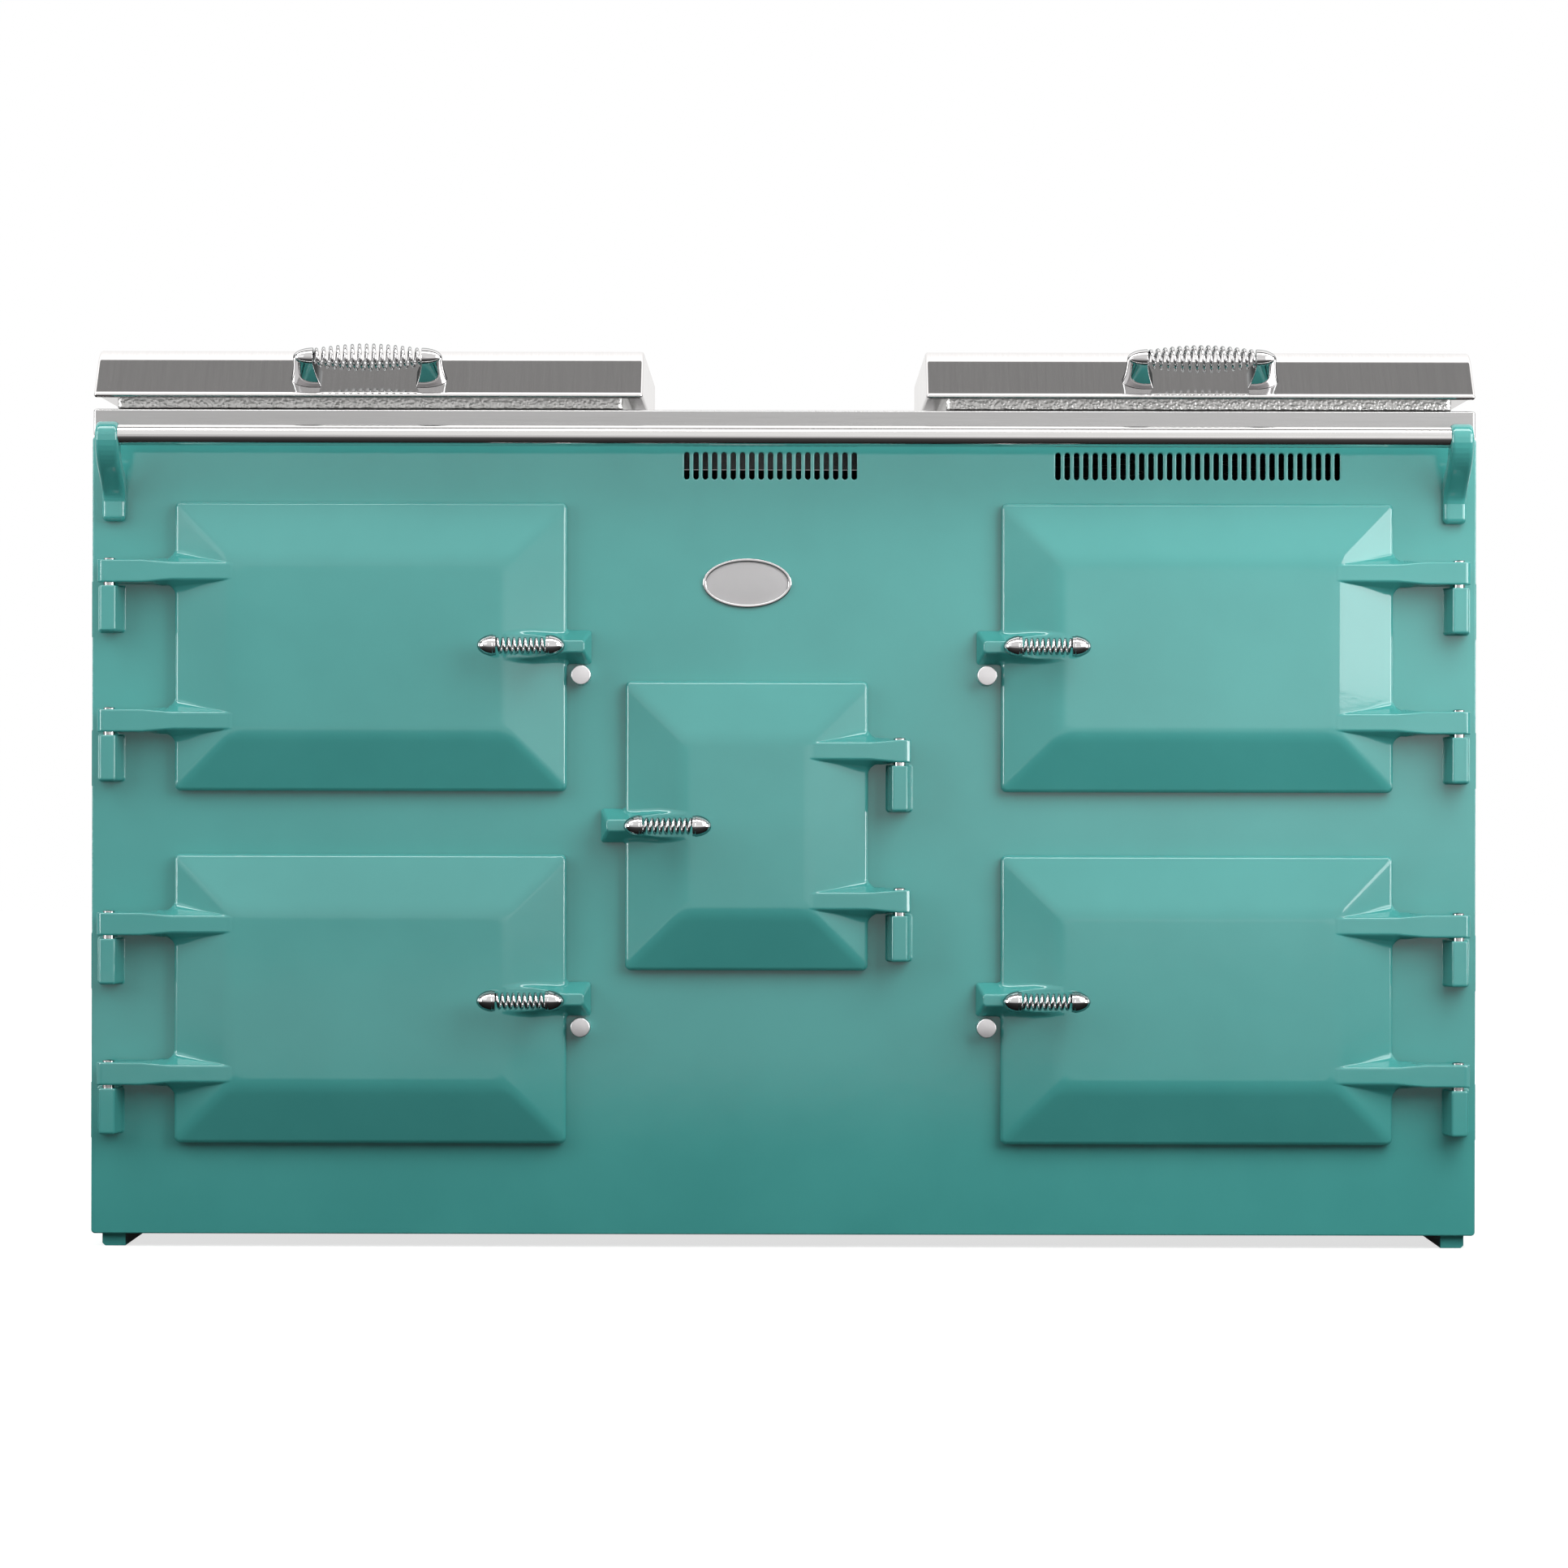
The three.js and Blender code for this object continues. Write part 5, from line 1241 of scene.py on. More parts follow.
@dataclass
class Handle:
    """A wound handle between polished ends."""

    cap_length: float
    cap_radius: float
    out: float
    flare: float
    coil: float
    turns: int
    wire: float
    end_radius: float
    middle_radius: float
    hand: float
    two_legs: bool
    collar: float = 0.0
    neck: float = -0.2

    def leg(self, x: Array, d: Array, z: Array) -> Array:
        """A leg at the coil's lower end, its flat side towards the coil."""
        beyond = np.maximum(d - self.out, 0.0) / self.cap_radius
        size = 1.0 - self.neck * np.clip(1.0 - d / self.out, 0.0, 1.0) ** 2
        section = np.sqrt((x / self.cap_length) ** 2 + (z / self.cap_radius) ** 2 + beyond**2) - size
        face = x + self.collar - self.flare * np.clip(1.0 - d / self.out, 0.0, 1.0) ** 1.5
        solid = rounded_max(section * self.cap_radius, face, 0.9)
        return rounded_max(self.with_collar(solid, x, d, z), -d, 0.5)

    def cap(self, x: Array, d: Array, z: Array) -> Array:
        """A free end past the coil's upper end, its flat side towards the coil."""
        off = np.sqrt((x / self.cap_length) ** 2 + ((d - self.out) ** 2 + z**2) / self.cap_radius**2)
        solid = rounded_max((off - 1.0) * self.cap_radius, self.collar - x, 0.9)
        return self.with_collar(solid, -x, d, z)

    def with_collar(self, solid: Array, x: Array, d: Array, z: Array) -> Array:
        """An end with the slimmer ring between it and the coil."""
        if self.collar == 0.0:
            return solid
        off = np.hypot(d - self.out, z) - self.cap_radius + 0.9
        return np.minimum(solid, rounded_max(off, np.abs(x + self.collar) - self.collar, 0.6))

    def ends(self) -> Skin:
        """Both ends in the handle's own axes: along the coil, out from the base, up."""
        l, r, out = self.cap_length * 1.25, self.cap_radius * 1.3, self.out
        fine = by_mode(0.55)
        low, high = out - self.cap_radius - 1, out + self.cap_radius + 1
        marks = (
            ruling(-l - 1, self.flare + 1.5, [(-l - 1, 2 - l), (-3, self.flare + 1)], fine, 1.0),
            ruling(-1.0, high, [(-1, 2), (out, out + 16)], fine, 1.1),
            ruling(-r - 1, r + 1, [(-r - 1, 3 - r), (r - 3, r + 1)], fine, 0.8),
        )
        leg = Casting(self.leg, marks).skin()
        shift = np.array([self.coil / 2, 0.0, 0.0])
        first = leg.placed(np.eye(3), -shift)
        if self.two_legs:
            return together([first, leg.placed(MIRROR, shift)])
        marks = (
            ruling(-1.0, self.cap_length + 1, [(-1, 2), (self.cap_length - 3, 99)], fine, 0.9),
            ruling(low, high, [(0, 99)], fine * 1.3, 1.0),
            ruling(-self.cap_radius - 1, self.cap_radius + 1, [(-99, 99)], fine * 1.3, 1.0),
        )
        return together([first, Casting(self.cap, marks).skin().placed(np.eye(3), shift)])

    def build(self, name: str, node: str, body: str, ends: Skin, axes: Array, origin: Array) -> None:
        """Places the handle.

        Args:
            name: The pieces' common name.
            node: The node they stand for.
            body: The body they ride on.
            ends: The skin from ends().
            axes: Where the handle's own axes go, for a millimetre.
            origin: Where the middle of its base goes.
        """
        fix(f"{name}_ends", ends.placed(axes, origin), CHROME, body, "chrome", node)
        place = Matrix(np.column_stack([axes / MM, origin + axes @ np.array([0, self.out, 0])]).tolist())
        place = place.to_4x4() @ Matrix.Scale(-1, 4, (0, 1, 0))
        sizes = {
            "Turns": self.turns,
            "Length": (self.coil + 1.6) * MM,
            "Straight": 0.4 * self.wire * MM,
            "End Radius": (self.end_radius - self.wire) * MM,
            "Middle Radius": (self.middle_radius - self.wire) * MM,
            "Wire Radius": self.wire * MM,
            "Hand": self.hand,
        }
        dress(PATTERNS["wire"].made(f"{name}_coil", sizes, place), body, "chrome", node)


# ---------------------------------------------------------------- front


def rounded_outline(x: Span, z: Span, r: float) -> list[Span]:
    """A rectangle between two places across and two up, with rounded corners."""
    (x0, x1), (z0, z1) = x, z
    return (
        arc(x1 - r, z1 - r, r, 0, 90, 6)
        + arc(x0 + r, z1 - r, r, 90, 180, 6)
        + arc(x0 + r, z0 + r, r, 180, 270, 6)
        + arc(x1 - r, z0 + r, r, 270, 360, 6)
    )


@dataclass
class FrontPanel:
    """The enamelled front with its vents, apertures and hinge posts."""

    thickness: float = 8.0
    edge: float = 1.6
    slot_w: float = 5.8
    slot_h: float = 29.4
    slot_pitch: float = 10.07
    slot_down: float = 30.5
    post_h: float = 49.5
    post_out: float = 37.0
    vents: tuple[tuple[int, float], ...] = ((19, -15.1), (31, 447.0))
    rebate: float = 26.5
    arm_half: float = 12.65
    arm_gap: float = 3.0

    def __post_init__(self) -> None:
        """Reads the panel's place from the frame."""
        low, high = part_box("front_panel")
        self.width = (high.x - low.x) / MM
        self.low, self.high = low.z / MM, high.z / MM

    def openings(self, doors: Sequence[Door]) -> list[list[Span]]:
        """Outlines of the vents and of the apertures behind the doors."""
        holes = []
        z = self.high - self.slot_down
        straight = (self.slot_h - self.slot_w) / 2
        for count, centre in self.vents:
            for i in range(count):
                x = centre + (i - (count - 1) / 2) * self.slot_pitch
                holes.append(
                    arc(x, z + straight, self.slot_w / 2, 0, 180, 10)
                    + arc(x, z - straight, self.slot_w / 2, 180, 360, 10)
                )
        for door in doors:
            x = door.origin[0] / MM + door.side.value * door.middle
            z0 = door.origin[2] / MM
            w, h = door.width / 2 - self.rebate, door.height / 2 - self.rebate
            holes.append(rounded_outline((x - w, x + w), (z0 - h, z0 + h), 8.0))
        return holes

    def sheet(self, doors: Sequence[Door]) -> bpy.types.Object:
        """The flat sheet, with the edges of all its outlines rounded."""
        w = self.width / 2
        outer = rounded_outline((-w, w), (self.low, self.high), 4.0)
        curve = bpy.data.curves.new("front_sheet", "CURVE")
        curve.dimensions = "2D"
        curve.fill_mode = "BOTH"
        curve.bevel_depth = self.edge * MM
        curve.bevel_resolution = 3
        curve.offset = -self.edge * MM
        curve.extrude = (self.thickness / 2 - self.edge) * MM
        for outline in (outer, *self.openings(doors)):
            spline = curve.splines.new("POLY")
            spline.points.add(len(outline) - 1)
            for point, (x, z) in zip(spline.points, outline, strict=True):
                point.co = (x * MM, z * MM, 0.0, 1.0)
            spline.use_cyclic_u = True
        mesh = plain_mesh(linked("front_sheet_host", curve))
        mesh.transform(Matrix.Translation((0.0, FACE_Y + self.thickness / 2 * MM, 0.0)) @ UPRIGHT)
        mend(mesh, 60.0)
        level_flats(mesh)
        mesh.materials.clear()
        mesh.materials.append(ENAMEL)
        return linked("front_panel_sheet", mesh)

    def post(self, x: Array, d: Array, z: Array) -> Array:
        """A hinge post hanging down from z = 0, blended into the panel, with its bore."""
        half = 13.6 - 0.14 * d
        body = (np.abs(x) - half) * 0.97
        front = d - self.post_out
        solid = rounded_max(body, front, 2.4)
        solid = rounded_max(solid, z, 1.6)
        solid = rounded_max(solid, -self.post_h - z, 3.0)
        floor = d + 0.15
        blended = filleted_min(solid, floor, 1.8)
        skirt = np.maximum(np.maximum(np.abs(x) - 22.0, z - 5.5), -self.post_h - 6.0 - z)
        shape = np.maximum(np.maximum(blended, skirt), -0.9 - d)
        bore = np.maximum(np.hypot(x, d - PIN_OUT) - 6.6, -30.3 - z)
        return rounded_max(shape, -bore, 0.3)

    def posts(self, doors: Sequence[Door]) -> bpy.types.Object:
        """Every hinge post."""
        fine = by_mode(0.75)
        x = ruling(-23.0, 23.0, [(-23, 23)], fine, 1.0)
        d = ruling(-2.0, 38.0, [(-2, 3), (30, 38)], fine, 1.2)
        z = ruling(-self.post_h - 7.5, 6.5, [(-60, -40), (-7, 7)], fine, 1.6)
        skin = Casting(self.post, (x, d, z)).skin()
        placed = []
        for door in doors:
            for up in (door.arm_up, -door.arm_up):
                top = door.origin[2] + (up - self.arm_half - self.arm_gap) * MM
                placed.append(skin.placed(front_axes(), np.array([door.origin[0], FACE_Y, top])))
        return piece("hinge_posts", together(placed), ENAMEL)

    def build(self, doors: Sequence[Door]) -> None:
        """Places the sheet and its posts."""
        for made in (self.sheet(doors), self.posts(doors)):
            dress(made, "cooker", "enamel", "front_panel")


def level_flats(mesh: bpy.types.Mesh) -> None:
    """Gives the corners of large flat faces their own face's normal, and their neighbours at the rim too."""
    mesh.update()
    normals = np.zeros((len(mesh.vertices), 3))
    mesh.vertices.foreach_get("normal", normals.ravel())
    flat = normals.copy()
    for polygon in mesh.polygons:
        if abs(polygon.normal.y) > 0.9999:
            for i in polygon.vertices:
                flat[i] = polygon.normal
    mesh.polygons.foreach_set("use_smooth", [True] * len(mesh.polygons))
    mesh.normals_split_custom_set_from_vertices(flat.tolist())


@dataclass
class Badge:
    """A bare oval plate with a polished rim."""

    half_width: float = 48.0
    half_height: float = 26.75
    at_x: float = -40.0
    at_z: float = 718.6
    rim: float = 3.6
    thickness: float = 3.4

    def build(self) -> None:
        """Places the rim and the plain field inside it."""
        slim, t, w = self.half_height, self.thickness, self.rim
        arch = [(math.cos(a), math.sin(a)) for a in np.linspace(0.2, 2.9, 12)]
        rim = [(slim - 0.6, 0.2), (slim, 0.8), (slim, t - 1.0)]
        rim += [(slim - w / 2 + w / 2 * c, t - 1.0 + s) for c, s in arch]
        rim += [(slim - w, t - 1.4), (slim - w, 0.4)]
        field_r = slim - w + 0.2
        crown = np.linspace(0.98, 0.0, 14)
        face = [(field_r, 1.2)] + [(field_r * c, 1.2 + 0.9 * (1 - c * c)) for c in crown]
        origin = np.array([self.at_x * MM, FACE_Y, self.at_z * MM])
        for name, profile, finish in (("badge_rim", rim, CHROME), ("badge_field", face, BADGE_FIELD)):
            skin = oval(profile, self.half_width, slim, 128).placed(OUTWARD, origin)
            fix(name, skin, finish, "cooker", "chrome", weld=True)


def oval(profile: Sequence[Span], a: float, b: float, sides: int) -> Skin:
    """A skin round an oval of half axes a and b, its profile told from the short axis."""
    turn = np.linspace(0.0, 2 * math.pi, sides, endpoint=False)
    points, faces = [], []
    for r, h in profile:
        share = r / b
        ring_a = a - (b - r) if share > 0.4 else a * share / 0.4 * (a - 0.6 * b) / a
        points.append(ring(turn, ring_a, r, h))
    for k in range(len(profile) - 1):
        faces += band(k * sides, sides)
    flat = np.concatenate(points)
    return Skin(flat, faces, np.zeros_like(flat) + (0.0, 0.0, 1.0))


@dataclass
class Studs:
    """The turned catch studs beside the oven doors."""

    radius: float = 10.5
    out: float = 22.0

    def build(self) -> None:
        """Places one stud for each oven."""
        r, out = self.radius, self.out
        edge = [(r - 1.0 + math.cos(a), out - 1.0 + math.sin(a)) for a in np.linspace(0, math.pi / 2, 6)]
        profile = [(0.0, 0.0), (r, 0.0), *edge, (0.0, out)]
        for oven in OVENS:
            node = f"catch_stud_{oven}"
            low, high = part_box(node)
            origin = np.array([(low.x + high.x) / 2, high.y, (low.z + high.z) / 2])
            skin = lathe(profile, 56).placed(OUTWARD, origin)
            fix(node + "_turned", skin, STUD_STEEL, "cooker", "brushed_steel", node, weld=True)


# ---------------------------------------------------------------- hand rail


@dataclass
class HandRail:
    """The rail and its two cast brackets."""

    radius: float = 11.15
    axis_out: float = 62.0
    head: float = 14.4
    width: float = 25.0
    foot: float = 14.0
    foot_h: float = 38.0
    drop: float = 90.0
    socket: float = 17.0

    def __post_init__(self) -> None:
        """Reads the rail's place from the frame."""
        low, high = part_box("hand_rail")
        self.z = (low.z + high.z) / 2
        self.half = (high.x - low.x) / 2 / MM
        blow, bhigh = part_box("rail_bracket_left")
        self.bracket_x = (blow.x + bhigh.x) / 2

    def profile(self, inset: float) -> list[Span]:
        """Side view of a bracket, as (out from the panel, up from the rail's axis), pulled in by inset."""
        low = -self.drop + inset
        high = -self.drop + self.foot_h
        head = self.head - inset
        back = self.axis_out - self.head + inset
        front = self.axis_out + self.head - inset
        seat = SEAT + inset
        foot = self.foot - inset
        corner = 3.0
        return [
            (seat, low),
            *arc(foot - corner, low + corner, corner, -90, 0, 6),
            *sweep((foot, high - 16), (foot + 3, high + 8), (front, -36), (front, 0)),
            *arc(self.axis_out, 0, head, 10, 170, 24),
            *sweep((back, 0), (back, -34), (seat + 6, high + 20), (seat, high + 8)),
        ]

    def solid(self, x: Array, d: Array, z: Array) -> Array:
        """A bracket with soft edges and a socket open towards +X."""
        round_by = 3.2
        side = outline_distance(self.profile(round_by), d, z) - round_by
        solid = rounded_max(side, np.abs(x) - self.width / 2, 5.6)
        bore = np.hypot(d - self.axis_out, z) - self.radius - 0.35
        hollow = np.maximum(bore, self.width / 2 - self.socket - SEAT - x)
        return rounded_max(solid, -hollow, 0.6)

    def build(self) -> None:
        """Places the rail and both brackets."""
        fine = by_mode(0.75)
        x = ruling(-self.width / 2 - 1, self.width / 2 + 1, [(-14, -8), (-6, -3), (8, 14)], fine, 1.3)
        d = ruling(-0.5, self.axis_out + self.head + 1, [(0, 6), (45, 80)], fine, 1.2)
        z = ruling(-self.drop - 1, self.head + 1, [(-91, -82), (-15, 16)], fine, 1.3)
        skin = Casting(self.solid, (x, d, z)).skin()
        for side in Side:
            node = f"rail_bracket_{side.name.lower()}"
            origin = np.array([side.value * self.bracket_x, FACE_Y, self.z])
            casting = skin.placed(front_axes(side.value), origin)
            fix(node + "_casting", casting, ENAMEL, "cooker", "enamel", node)
        r, inner, h = self.radius, self.radius - 2.0, self.half
        ends = [(r - 0.4, -h), (r, 0.4 - h), (r, h - 0.4), (r - 0.4, h)]
        tube = [(inner, -h), *ends, (inner, h), (inner, -h)]
        axes = np.array([[0, 0, 1], [1, 0, 0], [0, 1, 0]], float) * MM
        skin = lathe(tube, 96).placed(axes, np.array([0, FACE_Y - self.axis_out * MM, self.z]))
        fix("hand_rail_tube", skin, STEEL_RAIL, "cooker", "brushed_steel", "hand_rail", weld=True)


# ---------------------------------------------------------------- hob


@dataclass
class Hob:
    """The steel top with its two cut-outs, and the plates in them."""

    sheet: float = 3.0
    edge: float = 2.2

    def __post_init__(self) -> None:
        """Reads the hob's box from the frame, in millimetres from the front."""
        low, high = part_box("hob_top")
        self.low, self.high = low / MM, high / MM
        self.depth = self.high.y - self.low.y
        self.plates = []
        for node in ("hot_plate", "ceramic_hob"):
            a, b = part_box(node)
            self.plates.append((a / MM, b / MM))

    def solid(self, x: Array, y: Array, z: Array) -> Array:
        """The folded sheet, hollow below, with soft outer edges."""
        half = (self.high.x - self.low.x) / 2
        mid_y = (self.high.y + self.low.y) / 2
        ax, ay = np.abs(x) - half, np.abs(y - mid_y) - self.depth / 2
        r = 3.0
        outer = rounded_max(box_distance(ax + r, ay + r, r), z - self.high.z, self.edge)
        outer = np.maximum(outer, self.low.z - z)
        inner = rounded_max(np.maximum(ax, ay) + self.sheet, z - self.high.z + self.sheet, 1.0)
        shell = np.maximum(outer, -inner)
        for low, high in self.plates:
            cx, cy = (low.x + high.x) / 2, (low.y + high.y) / 2
            w, h = (high.x - low.x) / 2 - 8.0, (high.y - low.y) / 2 - 8.0
            hole = np.maximum(np.abs(x - cx) - w, np.abs(y - cy) - h)
            shell = np.maximum(shell, -hole)
        return shell

    def build(self) -> None:
        """Places the sheet and gives the plates their finishes."""
        xs, ys = [], []
        for low, high in self.plates:
            xs += [(low.x + 6, low.x + 10), (high.x - 10, high.x - 6)]
            ys = [(low.y + 6, low.y + 10), (high.y - 10, high.y - 6)]
        half = (self.high.x - self.low.x) / 2
        front, rear, under, top = self.low.y, self.high.y, self.low.z, self.high.z
        marks = (
            rimmed(half, 6.0, 0.8, 30.0, xs),
            ruling(front - 1, rear + 1, [(front - 1, front + 6), (rear - 6, rear + 1), *ys], 0.8, 30.0),
            ruling(under - 1, top + 1, [(under - 1, under + 2), (top - 6, top + 1)], 0.7, 4.0),
        )
        skin = Casting(self.solid, marks).skin().placed(STRAIGHT, np.zeros(3))
        fix("hob_top_sheet", skin, STEEL_FLAT, "cooker", "brushed_steel", "hob_top")
        self.finish_plates()

    def finish_plates(self) -> None:
        """The ground iron plate in two halves and the glass-ceramic one with its rings."""
        (a, b), (c, d) = self.plates
        mid_y = (a.y + b.y) / 2 * MM
        top = b.z * MM
        quarter = (b.x - a.x) / 4 * MM
        middle = (a.x + b.x) / 2 * MM
        plate = MachinedPlate(((middle - quarter, mid_y, top), (middle + quarter, mid_y, top)))
        paint(plate.material(), "hot_plate")
        x0, w, h = (c.x + d.x) / 2 * MM, (d.x - c.x) / 2 * MM, (d.y - c.y) / 2 * MM
        zones = (
            ((x0 - w * 0.5, mid_y - h * 0.45, top), 0.078),
            ((x0 - w * 0.5, mid_y + h * 0.45, top), 0.100),
            ((x0 + w * 0.5, mid_y - h * 0.42, top), 0.100),
            ((x0 + w * 0.5, mid_y + h * 0.48, top), 0.078),
        )
        paint(GlassCeramic(zones).material(), "ceramic_hob")


# ---------------------------------------------------------------- lids


@dataclass
class Lid:
    """An insulated lid: a folded steel shell, an embossed tray under it, knuckles and a wound handle."""

    side: Side
    width: float = 594.0
    depth: float = 528.0
    height: float = 55.5
    lip: float = 3.1
    lean: float = 42.0
    bend: float = 42.0
    rear: float = 8.0
    corner: float = 5.0
    under: float = 3.0
    handle_up: float = 20.0
    knuckle_inset: float = 66.0

    def __post_init__(self) -> None:
        """Works out where the lid is and the start of its slope."""
        self.name = self.side.name.lower()
        hinge = joint(f"lid_{self.name}_hinge")["pos_m"]
        self.x = hinge[0]
        self.axis_y, self.axis_z = hinge[1] - FACE_Y, hinge[2]
        _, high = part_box(f"lid_{self.name}")
        self.top = high.z / MM
        self.bottom = self.top - self.height
        self.knuckle_end = self.width / 2 - self.knuckle_inset - SEAT
        self.slope_start = arc(self.lip, self.bottom + self.lip, self.lip, 110, 360, 1)[0]

    def profile(self) -> list[Span]:
        """Side view: (behind the panel's face, height)."""
        sy, sz = self.slope_start
        lean = math.radians(self.lean)
        bend_z = self.top - self.bend
        bend_y = sy + (self.bend + math.sin(lean) * (bend_z - sz)) / math.cos(lean)
        under = self.bottom + self.under
        return [
            (self.depth, under),
            *arc(self.depth - self.rear, self.top - self.rear, self.rear, 0, 90, 12),
            *arc(bend_y, bend_z, self.bend, 90, 180 - self.lean, 36),
            *arc(self.lip, self.bottom + self.lip, self.lip, 110, 350, 22),
            (2 * self.lip, under),
        ]

    def solid(self, x: Array, y: Array, z: Array) -> Array:
        """The shell with its side edges rounded."""
        return rounded_max(outline_distance(self.profile(), y, z), np.abs(x) - self.width / 2, 3.2)

    def tray(self, x: Array, y: Array, z: Array) -> Array:
        """The block under the shell."""
        half_x, mid, half_y = self.width / 2 - 22.0, self.depth / 2, self.depth / 2 - 28.0
        qx, qy = np.abs(x) - half_x + 6.0, np.abs(y - mid) - half_y + 6.0
        low = self.bottom - 10.2
        block = rounded_max(box_distance(qx, qy, 6.0), low - z, 2.0)
        return np.maximum(block, z - self.bottom - self.under - 0.5)

    def knuckle(self, x: Array, y: Array, z: Array) -> Array:
        """A barrel behind the lid on a web, with a stub that enters the bracket."""
        ay, az, end = self.axis_y / MM, self.axis_z / MM, self.knuckle_end
        off = np.hypot(y - ay, z - az)
        along = np.abs(x - end + 15.0) - 15.0
        barrel = rounded_max(off - 10.0, along, 1.0)
        web = rounded_max(np.abs(z - az) - 5.0, along, 1.0)
        web = np.maximum(np.maximum(web, self.depth - 1.0 - y), y - ay)
        stub = np.maximum(np.maximum(off - 5.0, end - 1.0 - x), x - end - 6.0 - SEAT)
        return np.minimum(filleted_min(barrel, web, 3.0), stub)

    def build(self, handle: Handle, ends: Skin) -> None:
        """Places the lid's pieces."""
        half, depth, fine = self.width / 2, self.depth, by_mode(0.7)
        everywhere = [(0, 2000)]
        shell = (
            rimmed(half, 4.0, fine, 40.0),
            ruling(-1.0, depth + 1, [(-1, 9), (22, 70), (depth - 9, depth + 1)], fine, 24.0),
            ruling(self.bottom - 1, self.top + 1, everywhere, fine, 1.0),
        )
        tray = (
            ruling(-half + 20, half - 20, [(-half + 20, 30 - half), (half - 30, half - 20)], 1.2, 30.0),
            ruling(26.5, depth - 26.5, [(26, 36), (depth - 36, depth - 26)], 1.2, 30.0),
            ruling(self.bottom - 11.5, self.bottom + 5, everywhere, 0.9, 1.0),
        )
        end, ay, az = self.knuckle_end, self.axis_y / MM, self.axis_z / MM
        barrel = (
            ruling(end - 32, end + 8, [(end - 31, end - 28), (end - 3, end + 7)], 0.8, 3.0),
            ruling(depth - 2.5, ay + 11.5, everywhere, 0.9, 1.0),
            ruling(az - 11.5, az + 11.5, everywhere, 0.9, 1.0),
        )
        knuckle = Casting(self.knuckle, barrel).skin()
        node, origin = f"lid_{self.name}", np.array([self.x, FACE_Y, 0.0])
        for what, skin, finish in (
            ("shell", Casting(self.solid, shell).skin(), STEEL_LID),
            ("tray", Casting(self.tray, tray).skin(), STUCCO),
            ("knuckles", together([knuckle, knuckle.placed(MIRROR, np.zeros(3))]), STEEL_LID),
        ):
            fix(f"{node}_{what}", skin.placed(STRAIGHT, origin), finish, node, "brushed_steel", node)
        self.fit_handle(handle, ends)

    def fit_handle(self, handle: Handle, ends: Skin) -> None:
        """Stands the handle square on the slope."""
        lean = math.radians(self.lean)
        along, out = math.sin(lean), math.cos(lean)
        y = self.slope_start[0] + self.handle_up * along - SEAT * out
        z = self.slope_start[1] + self.handle_up * out + SEAT * along
        axes = np.array([[1, 0, 0], [0, -out, along], [0, along, out]], float) * MM
        origin = np.array([self.x, FACE_Y + y * MM, z * MM])
        body = f"lid_{self.name}"
        handle.build(f"{body}_handle", f"lid_handle_{self.name}", body, ends, axes, origin)


# ---------------------------------------------------------------- inside and casing


@dataclass
class Controls:
    """The knobs behind the middle door, with their marks."""

    radius: float = 19.0
    height: float = 20.0
    grip: float = 5.0

    def knob(self, x: Array, d: Array, z: Array) -> Array:
        """A knob with a bar grip, its back at d = 0.3, and its spindle behind."""
        off = np.hypot(x, z)
        taper = 0.09 * np.maximum(d, 0.0)
        body = rounded_max(rounded_max(off - self.radius + taper, d - self.height, 2.4), SEAT - d, 0.6)
        grip = rounded_max(np.abs(x) - 3.2, np.abs(z) - 14.2, 1.4)
        grip = rounded_max(rounded_max(grip, d - self.height - self.grip, 1.6), self.height - 2.0 - d, 0.1)
        dish = np.sqrt(off**2 + (d - self.height - 46.0) ** 2) - 48.2
        body = np.maximum(body, -dish)
        spindle = np.maximum(np.maximum(off - 4.0, -14.0 - d), d - 1.0)
        return np.minimum(filleted_min(body, grip, 1.6), spindle)

    def build(self) -> None:
        """Places the knobs, their pointers and the marks round them."""
        fine = by_mode(0.7)
        across = ruling(-20.0, 20.0, [(-20, -15), (-5, 5), (15, 20)], fine, 1.3)
        out = ruling(-15.0, 26.0, [(-1, 2), (16, 26)], fine, 1.6)
        skin = Casting(self.knob, (across, out, across)).skin()
        pointer = Casting(
            lambda x, d, z: rounded_max(
                rounded_max(np.abs(x) - 0.9, np.abs(z - 9.0) - 4.2, 0.4), np.abs(d - 24.9) - 0.35, 0.15
            ),
            (
                ruling(-1.6, 1.6, [(-2, 2)], 0.25, 0.3),
                ruling(24.2, 25.6, [(0, 99)], 0.2, 0.3),
                ruling(4.0, 14.0, [(4, 6), (12, 14)], 0.25, 0.8),
            ),
        ).skin()
        for name in [n for n in frame["nodes"] if n.startswith("knob_")]:
            spot = np.array(joint(name + "_turn")["pos_m"])
            for what, shape, finish in (("moulded", skin, KNOB_BLACK), ("pointer", pointer, WHITE_PRINT)):
                fix(f"{name}_{what}", shape.placed(front_axes(), spot), finish, name, "black_plastic", name)
            place = Matrix.Translation(spot + np.array([0, -0.15 * MM, 0])) @ UPRIGHT
            sizes = {"Radius": 0.0245, "Marks": 11, "Stroke": 0.0045}
            dress(PATTERNS["marks"].made(name + "_marks", sizes, place), "cooker", "dark_sheet")
        paint(DARK_SHEET, "control_panel")


@dataclass
class Ovens:
    """The oven liners and their wire shelves."""

    def build(self) -> None:
        """Places a shelf of round wire in each oven."""
        for oven in OVENS:
            paint(LINER_IRON, f"oven_liner_{oven}")
            node = f"oven_rack_{oven}"
            low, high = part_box(node)
            middle = (low + high) / 2
            sizes = {
                "Width": high.x - low.x,
                "Depth": high.y - low.y,
                "Bars": 15,
                "Frame Radius": (high.z - low.z) / 2 * 0.96,
                "Bar Radius": 0.0019,
            }
            rack = PATTERNS["rack"].made(node + "_wire", sizes, Matrix.Translation(middle))
            dress(rack, f"rack_{oven}", "chrome", node)


